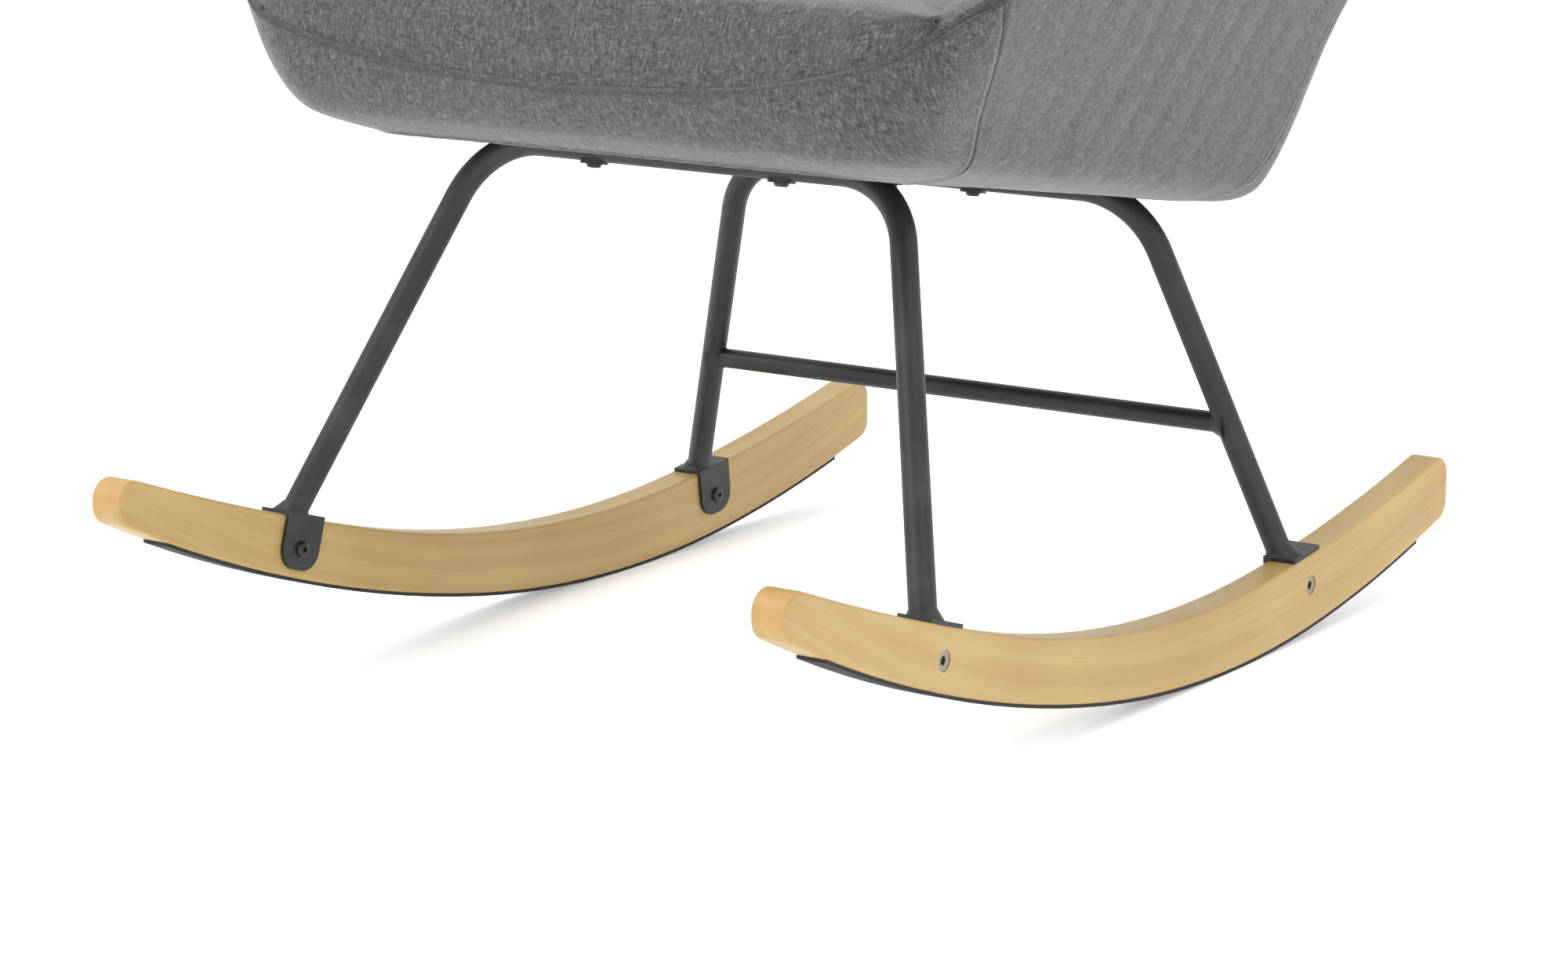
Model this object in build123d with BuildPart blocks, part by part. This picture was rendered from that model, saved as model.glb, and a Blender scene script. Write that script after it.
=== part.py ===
from build123d import *
import os
from math import asin, atan, cos, degrees, radians, sin, sqrt
from collections import namedtuple

# Upholstered rocking chair: two bent beech rockers, two bent-tube leg frames and a padded tub shell.
# Millimetres, +Z up. The chair faces -Y and stands on the floor plane Z = 0. It is symmetric about X = 0.

# --- fits ---------------------------------------------------------------------------------------
SLIDE_FIT = 0.05             # gap round a part that slides into its hole
CLEAR_FIT = 0.3              # gap round a bolt that passes freely
WELD_FIT = 0.02              # gap between a tube and what is welded to it

# --- rockers -------------------------------------------------------------------------------
ROCKER_SPACING = 550.0       # between the middles of the two rockers
ROCKER_THICK = 26.0
ROCKER_FRONT_Y = -489.0
ROCKER_REAR_Y = 446.0
ROCKER_EDGE_ROUND = 2.5
ROCKER_TIP_ROUND = 15.0
CONTACT_Y = 98.0             # where the rockers touch the floor at rest
SOLE_RADIUS = 1100.0         # underside, middle stretch
SOLE_END_RADIUS = 1480.0     # underside, towards both ends
SOLE_FRONT_BREAK_Y = -93.0
SOLE_REAR_BREAK_Y = 237.0
TOP_LOW_Y = 71.0             # lowest point of the upper edge
TOP_LOW_Z = 54.6
TOP_RADIUS = 1090.0
TOP_FRONT_RADIUS = 3000.0
TOP_REAR_RADIUS = 2200.0
TOP_FRONT_BREAK_Y = -223.0
TOP_REAR_BREAK_Y = 187.0
PAD_THICK = 2.4
PAD_WIDTH = 23.0
PAD_FRONT_Y = -440.0
PAD_REAR_Y = 396.0

# --- leg frames: steel tube, one inverted U across the front and one across the rear -----------
LEG_RADIUS = 9.5
LEG_WALL = 1.5
LEG_BEND = 65.0              # centre-line radius of the two bends
REFERENCE_Z = 157.5          # height at which the legs' places are given
FRONT_LEG_X = 256.4
FRONT_LEG_Y = -286.0
FRONT_LEG_RUN_X = -0.3516    # inward travel for each millimetre up
FRONT_LEG_RUN_Y = 0.4281
FRONT_TUBE_Z = 387.6
REAR_LEG_X = 237.5
REAR_LEG_Y = 177.0
REAR_LEG_RUN_X = -0.3327
REAR_LEG_RUN_Y = -0.2529
REAR_TUBE_Z = 338.5
STRETCHER_RADIUS = 7.75
STRETCHER_WALL = 1.5
STRETCHER_Z = 165.3
WELD_SIZE = 2.5

# --- brackets that join the legs to the rockers ---------------------------------------------
BRACKET_THICK = 3.0
BRACKET_LENGTH = 40.0
BRACKET_LIFT = 0.1           # the flat plate bridges the hollow of the rocker's upper edge
EAR_DROP = 38.0
EAR_ROUND = 16.0
FRONT_SCREW_Y = -305.0
REAR_SCREW_Y = 213.0
SCREW_BELOW_TOP = 22.5
SCREW_SHANK_RADIUS = 3.0
SCREW_HEAD_RADIUS = 6.0
SCREW_HEAD_HEIGHT = 3.3
SCREW_LENGTH = 22.0
HEX_SOCKET_FLATS = 4.0
NUT_FLANGE_RADIUS = 7.2
NUT_FLANGE_THICK = 1.4
NUT_BARREL_RADIUS = 4.4
NUT_LENGTH = 16.0

LOWEST = -60.0               # heights below and above every padded piece, for trimming
HIGHEST = 900.0
WIDEST = 500.0               # half-width that clears the whole chair

# --- seat shell, in a frame that leans back with the seat -------------------------------------
# "depth" runs rearwards and "height" runs square to the seat from the level of the tube centres.
FRONT_TUBE_Y = FRONT_LEG_Y + FRONT_LEG_RUN_Y * (FRONT_TUBE_Z - REFERENCE_Z)
REAR_TUBE_Y = REAR_LEG_Y + REAR_LEG_RUN_Y * (REAR_TUBE_Z - REFERENCE_Z)
SEAT_SLOPE = (FRONT_TUBE_Z - REAR_TUBE_Z) / (REAR_TUBE_Y - FRONT_TUBE_Y)
SEAT_TILT = atan(SEAT_SLOPE)
SEAT_Z = FRONT_TUBE_Z + FRONT_TUBE_Y * SEAT_SLOPE
COVER = 3.0                  # fabric with its backing
PIPING = 3.5                 # how far the piping stands out, and half its height

Level = namedtuple("Level", "height front rear front_half rear_half front_round rear_round")
OUTSIDE = [
    Level(0, -296, 228, 216, 216, 40, 32),
    Level(12, -324, 242, 254, 237, 44, 38),
    Level(45, -348, 255, 276, 253, 47, 51),
    Level(119, -352, 276, 320, 271, 56, 66),
    Level(245, -356, 309, 358, 305, 68, 81),
    Level(450, -356, 346, 350, 290, 74, 86),
    Level(690, -356, 386.4, 323, 257, 80, 86),
]
SITTING_SPACE = [
    Level(60, -520, 132, 262, 203, 20, 80),
    Level(119, -520, 147, 284, 211, 20, 85),
    Level(245, -520, 182, 316, 228, 20, 95),
    Level(450, -520, 243, 318, 216, 20, 95),
    Level(760, -520, 328, 296, 180, 20, 95),
]
REAR_BOW = 14.0              # how far the middle of the back stands behind its corners

BOARD_THICK = 12.0
RAIL_THICK = 22.0
RAIL_HEIGHT = 44.0
DECK_FRONT = -302.0
DECK_REAR = 186.0
DECK_HALF_FRONT = 212.0
DECK_HALF_REAR = 184.0
DUST_COVER = 1.0
BOARD_BOTTOM = LEG_RADIUS + SLIDE_FIT + DUST_COVER
BOARD_TOP = BOARD_BOTTOM + BOARD_THICK
RAIL_TOP = BOARD_TOP + RAIL_HEIGHT
SPRING_RADIUS = 1.8
SPRING_PITCH = 34.0
SPRING_SWING = 21.0
SPRING_BEND = 11.0
SPRING_ROWS = 5
SPRING_ROW_GAP = 72.0
FOAM_BOTTOM = RAIL_TOP + 2 * SPRING_RADIUS + CLEAR_FIT
SEAT_HALF = 248.0
ARM_PLY = 15.0
ARM_CORNER = 12.0
ARM_MIDDLE = 247.0           # middle of the arm's plywood at the reference depth, level with the rails
ARM_REFERENCE_DEPTH = -150.0
ARM_TAPER = 0.095            # inward travel for each millimetre rearwards
ARM_FLARE = 0.285            # outward travel for each millimetre up
ARM_PANEL_OUTLINE = (
    (-262, 48), (165, 48), (165, 105), (120, 195), (60, 224), (-170, 224), (-222, 196), (-262, 120),
)
POST_WIDTH = 42.0
POST_DEPTH = 24.0
POST_X = 160.0
POST_FOOT = 172.0            # depth of the posts' front faces at their feet
POST_LEAN = 0.285            # rearward travel for each millimetre up
POST_TOP = 670.0
LOW_RAIL_HEIGHT = 40.0
LUMBAR_RAIL = 330.0
BACK_TOP = 686.0
BACK_CORNER = 130.0
RIM_INNER = 18.0             # width of the padded lip under the edge of the board
ARM_FRONT = -316.0           # depth where the front band gives way to the arms
FRONT_REACH = 80.0           # how far forward of that the front band's curve is carried
FRONT_SEAM = (
    (-332, 142), (-312, 118), (-258, 74), (-130, 47), (0, 40), (130, 47), (258, 74), (312, 118), (332, 142),
)
ARM_SEAM = (
    (-316, 112), (-285, 172), (-232, 226), (-150, 249), (-40, 252), (70, 274), (142, 340), (190, 432),
    (232, 545), (264, 640), (279, 686),
)
SEAT_NOSE = (
    (-358, 40), (-357, 84), (-342, 106), (-296, 119), (-150, 123), (135, 115),
)
SIDE_SEAM_TOP = (-310.0, 118.0)     # where the front band ends at the arm's front
SIDE_SEAM_FOOT = (-228.0, 0.0)
BACK_SEAM_FOOT = 178.0
BACK_SILHOUETTE = (
    (-430, LOWEST), (-430, 400), (-300, 520), (-276, BACK_TOP), (276, BACK_TOP), (300, 520), (430, 400),
    (430, LOWEST),
)
WADDING = 15.0               # padding behind the back posts
ARM_BACK_FOOT = 86.0         # depth at which the arms' padding meets the back's, level with the board
LOW_RAIL_HALF = 214.0
STRAP_HEIGHTS = (150, 232, 420, 502)
BACK_SEAM_LEAN = 0.235
STRAP_WIDTH = 50.0
STRAP_THICK = 1.6

FRONT_BOLT_X = 80.0
REAR_BOLT_X = 37.0
BOLT_RADIUS = 3.0
BOLT_HEAD_RADIUS = 5.5
BOLT_HEAD_HEIGHT = 2.8
SADDLE_LENGTH = 19.0
SADDLE_WIDTH = 13.0
SADDLE_HEIGHT = 5.5
SADDLE_ROUND = 4.0
SADDLE_DROP = 1.6            # thickness of the saddle washer below the tube
TEE_FLANGE_RADIUS = 9.0
TEE_FLANGE_THICK = 1.5
TEE_BARREL_RADIUS = 4.0
TEE_LENGTH = 9.0
SOCKET_DEPTH = 2.0
HEAD_ROUND = 2.4
NUT_RECESS = 0.6             # how deep the sleeve nuts' flanges lie in the rockers
HEAD_LEVEL = LEG_RADIUS + SADDLE_DROP

SIN = sin(SEAT_TILT)
COS = cos(SEAT_TILT)
DEPTH_DIR = Vector(0, COS, -SIN)
HEIGHT_DIR = Vector(0, SIN, COS)
seat_origin = Vector(0, 0, SEAT_Z)
os.makedirs("parts", exist_ok=True)


def save(shape, name):
    """Labels one finished piece and writes its STEP file."""
    shape.label = name
    export_step(shape, f"parts/{name}.step")


def seat_point(x, depth, height):
    """The place of a point that is given in the leaning seat frame."""
    return seat_origin + Vector(x, 0, 0) + DEPTH_DIR * depth + HEIGHT_DIR * height


def level_plane(height):
    """Plane parallel to the seat board, local X across and local Y rearwards."""
    return Plane(origin=seat_point(0, 0, height), x_dir=(1, 0, 0), z_dir=HEIGHT_DIR)


def side_plane(lift=0.0):
    """Upright plane on the middle of the chair, local X = depth and local Y = height."""
    return Plane(origin=seat_point(0, 0, lift), x_dir=DEPTH_DIR, z_dir=(1, 0, 0))


def front_plane(depth, lift=0.0):
    """Upright plane across the chair that looks forwards, local X = x and local Y = height."""
    return Plane(origin=seat_point(0, depth, lift), x_dir=(1, 0, 0), z_dir=-DEPTH_DIR)


# ============================================================================================
# Rockers and their floor pads
# ============================================================================================
def arc_turn(radius, run, start=0.0):
    """Angle that an arc turns while it travels this far along Y, beginning at a given slope angle."""
    return degrees(asin(sin(radians(start)) + run / radius)) - start


SOLE_FRONT_ANGLE = arc_turn(SOLE_RADIUS, CONTACT_Y - SOLE_FRONT_BREAK_Y)
SOLE_REAR_ANGLE = arc_turn(SOLE_RADIUS, SOLE_REAR_BREAK_Y - CONTACT_Y)
TOP_FRONT_ANGLE = arc_turn(TOP_RADIUS, TOP_LOW_Y - TOP_FRONT_BREAK_Y)
TOP_REAR_ANGLE = arc_turn(TOP_RADIUS, TOP_REAR_BREAK_Y - TOP_LOW_Y)


def direction(angle, sign=1):
    """Unit direction in the side view, this many degrees above the horizontal."""
    return (sign * cos(radians(angle)), sin(radians(angle)))


def sole_chain(z, front_y, rear_y):
    """Underside of a rocker as four tangent arcs, returned with its two end points."""
    front_turn = arc_turn(SOLE_END_RADIUS, SOLE_FRONT_BREAK_Y - front_y, SOLE_FRONT_ANGLE)
    rear_turn = arc_turn(SOLE_END_RADIUS, rear_y - SOLE_REAR_BREAK_Y, SOLE_REAR_ANGLE)
    front = JernArc((CONTACT_Y, z), (-1, 0), SOLE_RADIUS, -SOLE_FRONT_ANGLE)
    front_end = JernArc(front @ 1, direction(SOLE_FRONT_ANGLE, -1), SOLE_END_RADIUS, -front_turn)
    rear = JernArc((CONTACT_Y, z), (1, 0), SOLE_RADIUS, SOLE_REAR_ANGLE)
    rear_end = JernArc(rear @ 1, direction(SOLE_REAR_ANGLE), SOLE_END_RADIUS, rear_turn)
    return front_end @ 1, rear_end @ 1


def top_chain():
    """Upper edge of a rocker as four tangent arcs, returned with its two end points."""
    front_turn = arc_turn(TOP_FRONT_RADIUS, TOP_FRONT_BREAK_Y - ROCKER_FRONT_Y, TOP_FRONT_ANGLE)
    rear_turn = arc_turn(TOP_REAR_RADIUS, ROCKER_REAR_Y - TOP_REAR_BREAK_Y, TOP_REAR_ANGLE)
    front = JernArc((TOP_LOW_Y, TOP_LOW_Z), (-1, 0), TOP_RADIUS, -TOP_FRONT_ANGLE)
    front_end = JernArc(front @ 1, direction(TOP_FRONT_ANGLE, -1), TOP_FRONT_RADIUS, -front_turn)
    rear = JernArc((TOP_LOW_Y, TOP_LOW_Z), (1, 0), TOP_RADIUS, TOP_REAR_ANGLE)
    rear_end = JernArc(rear @ 1, direction(TOP_REAR_ANGLE), TOP_REAR_RADIUS, rear_turn)
    return front_end @ 1, rear_end @ 1


def top_edge(y):
    """Height and slope angle of a rocker's upper edge at this Y, on the arcs drawn above."""
    if y < TOP_FRONT_BREAK_Y:
        start = radians(TOP_FRONT_ANGLE)
        run = TOP_FRONT_BREAK_Y - y
        radius, angle, sign, low = TOP_FRONT_RADIUS, start, -1, TOP_FRONT_BREAK_Y
    elif y > TOP_REAR_BREAK_Y:
        start = radians(TOP_REAR_ANGLE)
        run = y - TOP_REAR_BREAK_Y
        radius, angle, sign, low = TOP_REAR_RADIUS, start, 1, TOP_REAR_BREAK_Y
    else:
        run = y - TOP_LOW_Y
        rise = TOP_RADIUS - sqrt(TOP_RADIUS**2 - run**2)
        return TOP_LOW_Z + rise, run / sqrt(TOP_RADIUS**2 - run**2)
    base = TOP_LOW_Z + TOP_RADIUS * (1 - cos(angle))
    end = sin(angle) + run / radius
    return base + radius * (cos(angle) - sqrt(1 - end * end)), sign * end / sqrt(1 - end * end)


def rim_above(screw_y):
    """Point of the upper edge square above a screw, and the edge's direction there."""
    lean = atan(top_edge(screw_y)[1])
    y = screw_y - SCREW_BELOW_TOP * sin(lean)
    z, slope = top_edge(y)
    return Vector(0, y, z), Vector(0, 1, slope).normalized()


def screw_plane(side, y):
    """Plane on the inner face of a rocker at a screw: local X runs along the rocker, local Z points inwards."""
    rim, along = rim_above(y)
    inner_x = side * (ROCKER_SPACING - ROCKER_THICK) / 2
    origin = Vector(inner_x, rim.Y, rim.Z) - Vector(0, -along.Z, along.Y) * SCREW_BELOW_TOP
    return Plane(origin=origin, x_dir=along, z_dir=(-side, 0, 0))


SCREW_PLACES = {
    "front_left": (-1, FRONT_SCREW_Y),
    "front_right": (1, FRONT_SCREW_Y),
    "rear_left": (-1, REAR_SCREW_Y),
    "rear_right": (1, REAR_SCREW_Y),
}


def rocker(side):
    """One bent rocker with its screw holes and the seats of the sleeve nuts."""
    inner_x = side * (ROCKER_SPACING - ROCKER_THICK) / 2
    with BuildPart() as piece:
        with BuildSketch(Plane.YZ.offset(inner_x)):
            with BuildLine():
                low_front, low_rear = sole_chain(PAD_THICK, ROCKER_FRONT_Y, ROCKER_REAR_Y)
                high_front, high_rear = top_chain()
                Line(low_front, high_front)
                Line(low_rear, high_rear)
            make_face()
            tips = vertices().sort_by(Axis.X)
            fillet(tips[:2] + tips[-2:], ROCKER_TIP_ROUND)
        extrude(amount=side * ROCKER_THICK)
        flats = faces().filter_by(Axis.X)
        fillet(flats.edges(), ROCKER_EDGE_ROUND)
        for place_side, y in SCREW_PLACES.values():
            if place_side != side:
                continue
            inner = screw_plane(side, y)
            with BuildSketch(inner):
                Circle(NUT_BARREL_RADIUS + SLIDE_FIT)
            extrude(amount=-ROCKER_THICK, mode=Mode.SUBTRACT)
            with BuildSketch(inner.offset(-ROCKER_THICK)):
                Circle(NUT_FLANGE_RADIUS + 3 * SLIDE_FIT)
            extrude(amount=NUT_FLANGE_THICK + NUT_RECESS, mode=Mode.SUBTRACT)
    return piece.part


def rocker_pad(side):
    """Thin floor strip under one rocker, following its underside."""
    with BuildPart() as piece:
        with BuildSketch(Plane.YZ.offset(side * ROCKER_SPACING / 2)):
            with BuildLine():
                low_front, low_rear = sole_chain(0, PAD_FRONT_Y, PAD_REAR_Y)
                high_front, high_rear = sole_chain(PAD_THICK, PAD_FRONT_Y, PAD_REAR_Y)
                Line(low_front, high_front)
                Line(low_rear, high_rear)
            make_face()
        extrude(amount=PAD_WIDTH / 2, both=True)
    return piece.part


for name, side in (("left", -1), ("right", 1)):
    save(rocker(side), f"{name}_rocker")
    save(rocker_pad(side), f"{name}_rocker_pad")


# ============================================================================================
# Leg frames, stretcher, brackets and their screws
# ============================================================================================
Frame = namedtuple("Frame", "leg_x leg_y run_x run_y tube_z screw_y")
FRONT_FRAME = Frame(FRONT_LEG_X, FRONT_LEG_Y, FRONT_LEG_RUN_X, FRONT_LEG_RUN_Y, FRONT_TUBE_Z, FRONT_SCREW_Y)
REAR_FRAME = Frame(REAR_LEG_X, REAR_LEG_Y, REAR_LEG_RUN_X, REAR_LEG_RUN_Y, REAR_TUBE_Z, REAR_SCREW_Y)


def leg_point(frame, side, z):
    """Point on the centre line of one straight leg at this height."""
    rise = z - REFERENCE_Z
    return Vector(side * (frame.leg_x + frame.run_x * rise), frame.leg_y + frame.run_y * rise, z)


def foot_plane(frame, side):
    """Plane on top of a bracket's plate, where the leg ends."""
    rim, along = rim_above(frame.screw_y)
    up = Vector(0, -along.Z, along.Y)
    origin = rim + Vector(side * ROCKER_SPACING / 2, 0, 0) + up * (BRACKET_THICK + BRACKET_LIFT)
    return Plane(origin=origin, x_dir=along, z_dir=up)


def foot_point(frame, side):
    """Where a leg's centre line meets its bracket's plate."""
    plane = foot_plane(frame, side)
    high = leg_point(frame, side, REFERENCE_Z)
    low = leg_point(frame, side, 0)
    gap_high = (high - plane.origin).dot(plane.z_dir)
    gap_low = (low - plane.origin).dot(plane.z_dir)
    return low + (high - low) * (gap_low / (gap_low - gap_high))


def frame_path(frame):
    """Centre line of one inverted U, running a little past both feet."""
    corner = leg_point(frame, 1, frame.tube_z)
    foot = leg_point(frame, 1, foot_point(frame, 1).Z - 2 * LEG_RADIUS)
    across = Vector(1, 0, 0)
    upward = Vector(0, frame.run_y, 1).normalized()
    frame_plane = Plane(origin=(0, corner.Y, corner.Z), x_dir=across, z_dir=across.cross(upward))
    drop = (Vector(0, corner.Y, corner.Z) - Vector(0, foot.Y, foot.Z)).length
    with BuildLine(frame_plane) as path:
        FilletPolyline((-foot.X, -drop), (-corner.X, 0), (corner.X, 0), (foot.X, -drop), radius=LEG_BEND)
    return path.line


def leg_frame(frame, bolt_x):
    """One bent tube, cut off level with its brackets and drilled for the seat bolts."""
    path = frame_path(frame)
    with BuildPart() as piece:
        with BuildSketch(Plane(origin=path @ 0, z_dir=path % 0)):
            Circle(LEG_RADIUS)
            Circle(LEG_RADIUS - LEG_WALL, mode=Mode.SUBTRACT)
        sweep(path=path)
        split(bisect_by=foot_plane(frame, 1), keep=Keep.TOP)
        for side in (-1, 1):
            with BuildSketch(seat_bolt_plane(frame, side * bolt_x)):
                Circle(BOLT_RADIUS + CLEAR_FIT)
            extrude(amount=2 * LEG_RADIUS, both=True, mode=Mode.SUBTRACT)
    return piece.part


def seat_bolt_plane(frame, x):
    """Plane through a tube's centre line, parallel to the seat board, at one seat bolt."""
    tube_y = frame.leg_y + frame.run_y * (frame.tube_z - REFERENCE_Z)
    return Plane(origin=(x, tube_y, frame.tube_z), x_dir=(1, 0, 0), z_dir=HEIGHT_DIR)


def leg_cylinder(frame, side, radius):
    """Solid round bar along one straight leg, used to trim what is welded to it."""
    low = leg_point(frame, side, 0)
    high = leg_point(frame, side, 260)
    with BuildPart() as bar:
        with BuildSketch(Plane(origin=low, z_dir=high - low)):
            Circle(radius)
        extrude(amount=(high - low).length)
    return bar.part


def stretcher():
    """Round tube between the rear legs, with a weld bead at each end."""
    centre = leg_point(REAR_FRAME, 1, STRETCHER_Z)
    with BuildPart() as piece:
        with BuildSketch(Plane(origin=(-centre.X, centre.Y, STRETCHER_Z), x_dir=(0, 1, 0), z_dir=(1, 0, 0))):
            Circle(STRETCHER_RADIUS)
        extrude(amount=2 * centre.X)
        for side in (-1, 1):
            face = side * (centre.X - LEG_RADIUS - WELD_SIZE)
            with BuildSketch(Plane(origin=(face, centre.Y, STRETCHER_Z), z_dir=(side, 0, 0))):
                Circle(STRETCHER_RADIUS)
            with BuildSketch(Plane(origin=(side * centre.X, centre.Y, STRETCHER_Z), z_dir=(side, 0, 0))):
                Circle(STRETCHER_RADIUS + 2 * WELD_SIZE)
            loft()
        with BuildSketch(Plane(origin=(-centre.X, centre.Y, STRETCHER_Z), x_dir=(0, 1, 0), z_dir=(1, 0, 0))):
            Circle(STRETCHER_RADIUS - STRETCHER_WALL)
        extrude(amount=2 * centre.X, mode=Mode.SUBTRACT)
        for side in (-1, 1):
            add(leg_cylinder(REAR_FRAME, side, LEG_RADIUS + WELD_FIT), mode=Mode.SUBTRACT)
    return piece.part


def weld_collar(frame, side):
    """Cone of weld round the foot of one leg, standing on the bracket's plate."""
    plate = foot_plane(frame, side)
    low = foot_point(frame, side)
    up = (leg_point(frame, side, REFERENCE_Z) - low).normalized()
    with BuildPart() as collar:
        with BuildSketch(Plane(origin=low - up * LEG_RADIUS, z_dir=up)):
            Circle(LEG_RADIUS + 3 * WELD_SIZE)
        with BuildSketch(Plane(origin=low + up * 2 * WELD_SIZE, z_dir=up)):
            Circle(LEG_RADIUS + CLEAR_FIT)
        loft()
        add(leg_cylinder(frame, side, LEG_RADIUS + WELD_FIT), mode=Mode.SUBTRACT)
        split(bisect_by=plate, keep=Keep.TOP)
    return collar.part


def bracket(frame, side):
    """Bent plate on a rocker: a top plate under the leg, an ear on the inner face and a weld collar."""
    hole = screw_plane(side, frame.screw_y)
    collar = weld_collar(frame, side)
    ear_length = EAR_DROP + BRACKET_THICK + BRACKET_LIFT
    ear_middle = EAR_DROP - SCREW_BELOW_TOP - ear_length / 2
    plate_width = ROCKER_THICK - ROCKER_EDGE_ROUND + BRACKET_THICK
    plate_middle = (BRACKET_THICK + ROCKER_EDGE_ROUND) / 2
    with BuildPart() as piece:
        with BuildSketch(hole):
            with Locations((0, side * ear_middle)):
                Rectangle(BRACKET_LENGTH, ear_length)
            corners = vertices().sort_by(Axis.Y)
            fillet(corners[-2:] if side > 0 else corners[:2], EAR_ROUND)
            Circle(SCREW_SHANK_RADIUS + CLEAR_FIT, mode=Mode.SUBTRACT)
        extrude(amount=BRACKET_THICK)
        with BuildSketch(foot_plane(frame, side)):
            with Locations((0, side * plate_middle)):
                Rectangle(BRACKET_LENGTH, plate_width)
        extrude(amount=-BRACKET_THICK)
        add(collar)
    return piece.part


save(leg_frame(FRONT_FRAME, FRONT_BOLT_X), "front_leg_frame")
save(leg_frame(REAR_FRAME, REAR_BOLT_X), "rear_leg_frame")
save(stretcher(), "leg_stretcher")
for name, frame in (("front", FRONT_FRAME), ("rear", REAR_FRAME)):
    save(bracket(frame, -1), f"{name}_left_bracket")
    save(bracket(frame, 1), f"{name}_right_bracket")

# One button-head screw, its head's underside on the local XY plane and its shank pointing down.
with BuildPart() as one_screw:
    Cylinder(SCREW_HEAD_RADIUS, SCREW_HEAD_HEIGHT, align=(Align.CENTER, Align.CENTER, Align.MIN))
    fillet(edges().sort_by(Axis.Z)[-1], HEAD_ROUND)
    Cylinder(SCREW_SHANK_RADIUS, SCREW_LENGTH, align=(Align.CENTER, Align.CENTER, Align.MAX))
    with BuildSketch(Plane.XY.offset(SCREW_HEAD_HEIGHT)):
        RegularPolygon(HEX_SOCKET_FLATS / 2, 6, major_radius=False)
    extrude(amount=-SOCKET_DEPTH, mode=Mode.SUBTRACT)

# One flanged sleeve nut, its flange's outer face on the local XY plane and its barrel pointing up.
with BuildPart() as one_sleeve_nut:
    Cylinder(NUT_FLANGE_RADIUS, NUT_FLANGE_THICK, align=(Align.CENTER, Align.CENTER, Align.MIN))
    Cylinder(NUT_BARREL_RADIUS, NUT_LENGTH, align=(Align.CENTER, Align.CENTER, Align.MIN))
    Cylinder(SCREW_SHANK_RADIUS + SLIDE_FIT, 3 * NUT_LENGTH, mode=Mode.SUBTRACT)
    chamfer(faces().sort_by(Axis.Z)[0].inner_wires()[0].edges(), NUT_RECESS)

screw_planes = [screw_plane(side, y) for side, y in SCREW_PLACES.values()]
with BuildPart() as bracket_screws:
    with Locations(*[plane.offset(BRACKET_THICK) for plane in screw_planes]):
        add(one_screw.part)
save(bracket_screws.part, "bracket_screws")

with BuildPart() as sleeve_nuts:
    with Locations(*[plane.offset(NUT_RECESS - ROCKER_THICK) for plane in screw_planes]):
        add(one_sleeve_nut.part)
save(sleeve_nuts.part, "sleeve_nuts")

# Seat bolts, placed on the tubes' centre lines with local Z square to the seat board.
with BuildPart() as one_seat_bolt:
    with Locations((0, 0, -HEAD_LEVEL)):
        Cylinder(BOLT_HEAD_RADIUS, BOLT_HEAD_HEIGHT, align=(Align.CENTER, Align.CENTER, Align.MAX))
    fillet(edges().sort_by(Axis.Z)[0], HEAD_ROUND)
    with Locations((0, 0, -HEAD_LEVEL)):
        Cylinder(BOLT_RADIUS, HEAD_LEVEL + BOARD_TOP, align=(Align.CENTER, Align.CENTER, Align.MIN))
    with BuildSketch(Plane.XY.offset(-HEAD_LEVEL - BOLT_HEAD_HEIGHT)):
        RegularPolygon(HEX_SOCKET_FLATS / 2, 6, major_radius=False)
    extrude(amount=SOCKET_DEPTH, mode=Mode.SUBTRACT)

with BuildPart() as one_saddle_washer:
    with Locations((0, 0, -HEAD_LEVEL)):
        Box(SADDLE_LENGTH, SADDLE_WIDTH, SADDLE_HEIGHT, align=(Align.CENTER, Align.CENTER, Align.MIN))
    fillet(edges().filter_by(Axis.Z), SADDLE_ROUND)
    Cylinder(LEG_RADIUS + WELD_FIT, 2 * SADDLE_LENGTH, rotation=(0, 90, 0), mode=Mode.SUBTRACT)
    Cylinder(BOLT_RADIUS + CLEAR_FIT, 4 * SADDLE_LENGTH, mode=Mode.SUBTRACT)

with BuildPart() as one_tee_nut:
    with Locations((0, 0, BOARD_TOP)):
        Cylinder(TEE_FLANGE_RADIUS, TEE_FLANGE_THICK, align=(Align.CENTER, Align.CENTER, Align.MIN))
        Cylinder(TEE_BARREL_RADIUS, TEE_LENGTH, align=(Align.CENTER, Align.CENTER, Align.MAX))
    Cylinder(BOLT_RADIUS + SLIDE_FIT, 4 * BOARD_TOP, mode=Mode.SUBTRACT)

bolt_planes = [
    seat_bolt_plane(frame, side * bolt_x)
    for frame, bolt_x in ((FRONT_FRAME, FRONT_BOLT_X), (REAR_FRAME, REAR_BOLT_X))
    for side in (-1, 1)
]
for fastener, name in (
    (one_seat_bolt, "seat_bolts"),
    (one_saddle_washer, "saddle_washers"),
    (one_tee_nut, "seat_tee_nuts"),
):
    with BuildPart() as fasteners:
        with Locations(*bolt_planes):
            add(fastener.part)
    save(fasteners.part, name)


# ============================================================================================
# Timber inside the shell
# ============================================================================================
def deck_outline(height, inset=0.0, corner=30.0):
    """Plan outline of the seat deck, narrower at the rear."""
    front_half = DECK_HALF_FRONT - inset
    rear_half = DECK_HALF_REAR - inset
    with BuildSketch(level_plane(height)) as outline:
        with BuildLine():
            Polyline(
                (-front_half, DECK_FRONT + inset),
                (front_half, DECK_FRONT + inset),
                (rear_half, DECK_REAR - inset),
                (-rear_half, DECK_REAR - inset),
                close=True,
            )
        make_face()
        fillet(vertices(), corner)
    return outline.sketch


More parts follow.
